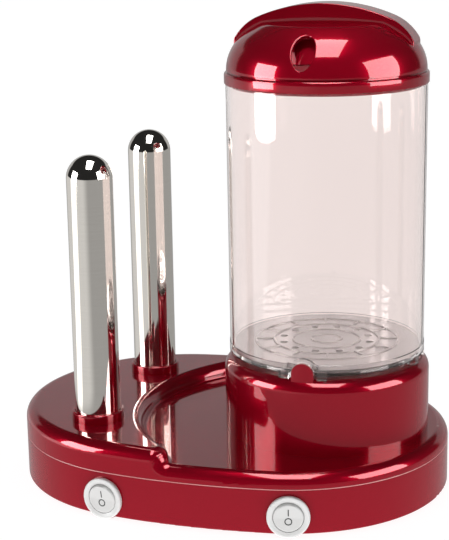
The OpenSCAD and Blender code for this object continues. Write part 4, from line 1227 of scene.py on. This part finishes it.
@dataclass
class Studio:
    """Camera, pale floor, surroundings and lights. The floor's sizes and the lights' places are in metres.

    The camera's sizes are in millimetres. A pair that is called an edge holds where a fade starts and ends.
    """

    yaw: float = 17.880
    pitch: float = 13.796
    roll: float = -0.980
    distance: float = 873.639
    target: Triple = (-4.864, 0.0, 121.144)
    focal_px: float = 1530.674
    image_height: float = 540.0
    sensor: float = 36.0
    floor_half: float = 6.0
    spikes_x: float = -0.0663
    strip_bearing: Triple = (-0.892, -0.452, 0.0)
    strip_edge: Pair = (0.943, 0.979)
    flank_edge: Pair = (0.2, 0.7)
    flank_glow: float = 0.30
    far_edge: Pair = (0.21, 0.27)
    dim_glow: float = 0.36
    pool_edge: Pair = (0.6, 0.2)
    pool_glow: Pair = (0.1, 2.1)
    pool_matt: float = 0.85
    paper: Pair = (0.22, 0.93)
    see_through_dip: float = 20.0
    see_through_edge: Pair = (0.50, 0.68)
    see_through_low: float = 0.30
    panel_edge: Pair = (0.58, 0.68)
    panel_top: Pair = (0.42, 0.36)
    room_glow: Pair = (0.02, 0.46)
    fill_glow: float = 0.36
    lid_at: Triple = (0.055, 0.0, 0.25)

    def camera(self) -> None:
        """Stand the camera where the photograph was taken from, with no shift."""
        yaw, roll = math.radians(self.yaw), math.radians(self.roll)
        back = -self.ahead(self.pitch)
        right = Vector((math.cos(yaw), math.sin(yaw), 0))
        up = back.cross(right)
        x = math.cos(roll) * right + math.sin(roll) * up
        y = math.cos(roll) * up - math.sin(roll) * right
        data = bpy.data.cameras.new("camera")
        data.sensor_fit = "VERTICAL"
        data.sensor_height = self.sensor
        data.lens = self.focal_px * self.sensor / self.image_height
        data.clip_end = 50
        camera = bpy.data.objects.new("camera", data)
        bpy.context.scene.collection.objects.link(camera)
        turn = Matrix((x, y, back)).transposed().to_4x4()
        camera.matrix_world = Matrix.Translation((Vector(self.target) + self.distance * back) * MM) @ turn
        bpy.context.scene.camera = camera

    def ahead(self, dip: float) -> Vector:
        """The way that the camera faces, dipped below the horizontal by an angle in degrees."""
        yaw, dip = math.radians(self.yaw), math.radians(dip)
        return Vector((-math.sin(yaw) * math.cos(dip), math.cos(yaw) * math.cos(dip), -math.sin(dip)))

    def floor(self) -> None:
        """Lay a pale floor that looks different to each kind of ray.

        The eye, also through clear plastic, sees white paper that keeps the shadow. Reflections see a dim
        floor that is paler far off on the left, with a bright strip there which upright round walls mirror.
        Matt surfaces are lit by a pool of light close to the base.
        """
        corners = self.floor_half * np.array([(-1, -1, 0), (1, -1, 0), (1, 1, 0), (-1, 1, 0)])
        data = bpy.data.meshes.new("floor")
        data.from_pydata(corners.tolist(), [], [range(4)])
        floor = bpy.data.objects.new("floor", data)
        bpy.context.scene.collection.objects.link(floor)
        paper = bpy.data.materials.new("pale_paper")
        graph = Graph(paper)
        nodes = graph.tree.nodes
        nodes.remove(nodes["Principled BSDF"])
        spot = graph.add("TexCoord").outputs["Object"]
        rays = graph.add("LightPath").outputs
        far = graph.vector("LENGTH", spot, output="Value")
        bearing = graph.vector("NORMALIZE", graph.vector("SUBTRACT", spot, (self.spikes_x, 0, 0)))
        side = graph.vector("DOT_PRODUCT", bearing, self.strip_bearing, output="Value")
        flank = graph.fade(side, *self.flank_edge, high=self.flank_glow)
        left = graph.calc("ADD", graph.fade(side, *self.strip_edge), flank)
        dim = graph.calc("MULTIPLY_ADD", left, graph.fade(far, *self.far_edge), self.dim_glow)
        mirrored = graph.add("Emission", {"Strength": dim}).outputs[0]
        lighting = graph.both(self.pool_matt, graph.fade(far, *self.pool_edge, *self.pool_glow))
        seen = graph.calc("MAXIMUM", rays["Is Camera Ray"], rays["Is Transmission Ray"])
        unseen = graph.blend(rays["Is Glossy Ray"], lighting, mirrored)
        graph.fill(nodes["Material Output"], {"Surface": graph.blend(seen, unseen, graph.both(*self.paper))})
        data.materials.append(paper)

    def world(self) -> None:
        """White surroundings for the eye and through clear plastic, and a plain grey light on the object.

        Reflections see a pale panel low down behind the object and a dim room on the side of the camera.
        """
        world = bpy.data.worlds.new("studio")
        bpy.context.scene.world = world
        graph = Graph(world)
        nodes = graph.tree.nodes
        look = graph.add("TexCoord").outputs["Generated"]
        rays = graph.add("LightPath").outputs
        height = graph.add("SeparateXYZ", {"Vector": look}).outputs["Z"]
        dipped, level = (graph.vector("DOT_PRODUCT", look, self.ahead(dip), output="Value")
                         for dip in (self.see_through_dip, 0))
        through = graph.fade(dipped, *self.see_through_edge, low=self.see_through_low)
        behind = graph.fade(level, *self.panel_edge)
        panel = graph.calc("MULTIPLY", behind, graph.fade(height, *self.panel_top))
        room = graph.fade(panel, 0, 1, *self.room_glow, ease="LINEAR")
        white = (1, 1, 1, 1)
        graph.fill(nodes["Background"], {"Color": white, "Strength": self.fill_glow})
        mixed = nodes["Background"].outputs[0]
        strengths = {"Is Glossy Ray": room, "Is Transmission Ray": through, "Is Camera Ray": 1.0}
        for ray, strength in strengths.items():
            background = graph.add("Background", {"Color": white, "Strength": strength}).outputs[0]
            mixed = graph.blend(rays[ray], mixed, background)
        graph.fill(nodes["World Output"], {"Surface": mixed})

    @staticmethod
    def lamp(name: str, kind: str, at: Sequence[float], aim: Sequence[float], power: float, gloss: bool,
             **settings: Any) -> None:
        """Hang a light that is seen in reflections alone, or lights the matt surfaces alone.

        Args:
            name: Name of the light.
            kind: Type of the light.
            at: Its place.
            aim: The point that it faces.
            power: Power, in watts.
            gloss: Whether it is seen in reflections.
            settings: Values of the light's own properties.
        """
        data = bpy.data.lights.new(name, kind)
        data.energy = power
        for key, value in settings.items():
            setattr(data, key, value)
        lamp = bpy.data.objects.new(name, data)
        bpy.context.scene.collection.objects.link(lamp)
        lamp.location = at
        lamp.rotation_euler = (Vector(aim) - Vector(at)).to_track_quat("-Z", "Y").to_euler()
        lamp.visible_diffuse = not gloss
        lamp.visible_glossy = gloss

    def build(self) -> None:
        """Set up the camera, the floor, the surroundings and the lights."""
        bpy.context.scene.view_settings.view_transform = "Standard"
        self.camera()
        self.floor()
        self.world()
        for name, at, aim, width, height, power, gloss in (
            ("left_box", (-1.006, -0.637, 0.356), self.lid_at, 0.62, 0.70, 15.6, True),
            ("right_box", (1.256, -0.169, 0.552), self.lid_at, 0.96, 0.87, 19.0, True),
            ("top_box", (0.12, -0.283, 1.517), self.lid_at, 0.62, 1.3, 19.5, True),
            ("key", (-0.5, -1.6, 0.8), (0, 0, 0.1), 1.0, 1.0, 3.2, False),
        ):
            self.lamp(name, "AREA", at, aim, power, gloss, shape="RECTANGLE", size=width, size_y=height)
        self.lamp("glow", "SPOT", (0.12, -0.32, 0.82), (0.072, -0.036, 0.252), 22.0, False,
                  spot_size=math.radians(9.0), spot_blend=1.0, shadow_soft_size=0.05)


def main() -> None:
    """Build every sub-assembly in order, then the studio."""
    logging.basicConfig(level=logging.INFO, format="%(name)s: %(message)s")
    parts = [
        Base(), Boiler(), Tank(), Lid(), Spikes(),
        RockerSwitch("left", -33.5, -8.7), RockerSwitch("right", 33.5, 14.5), Studio(),
    ]
    for part in parts:
        part.build()


if __name__ == "__main__":
    main()
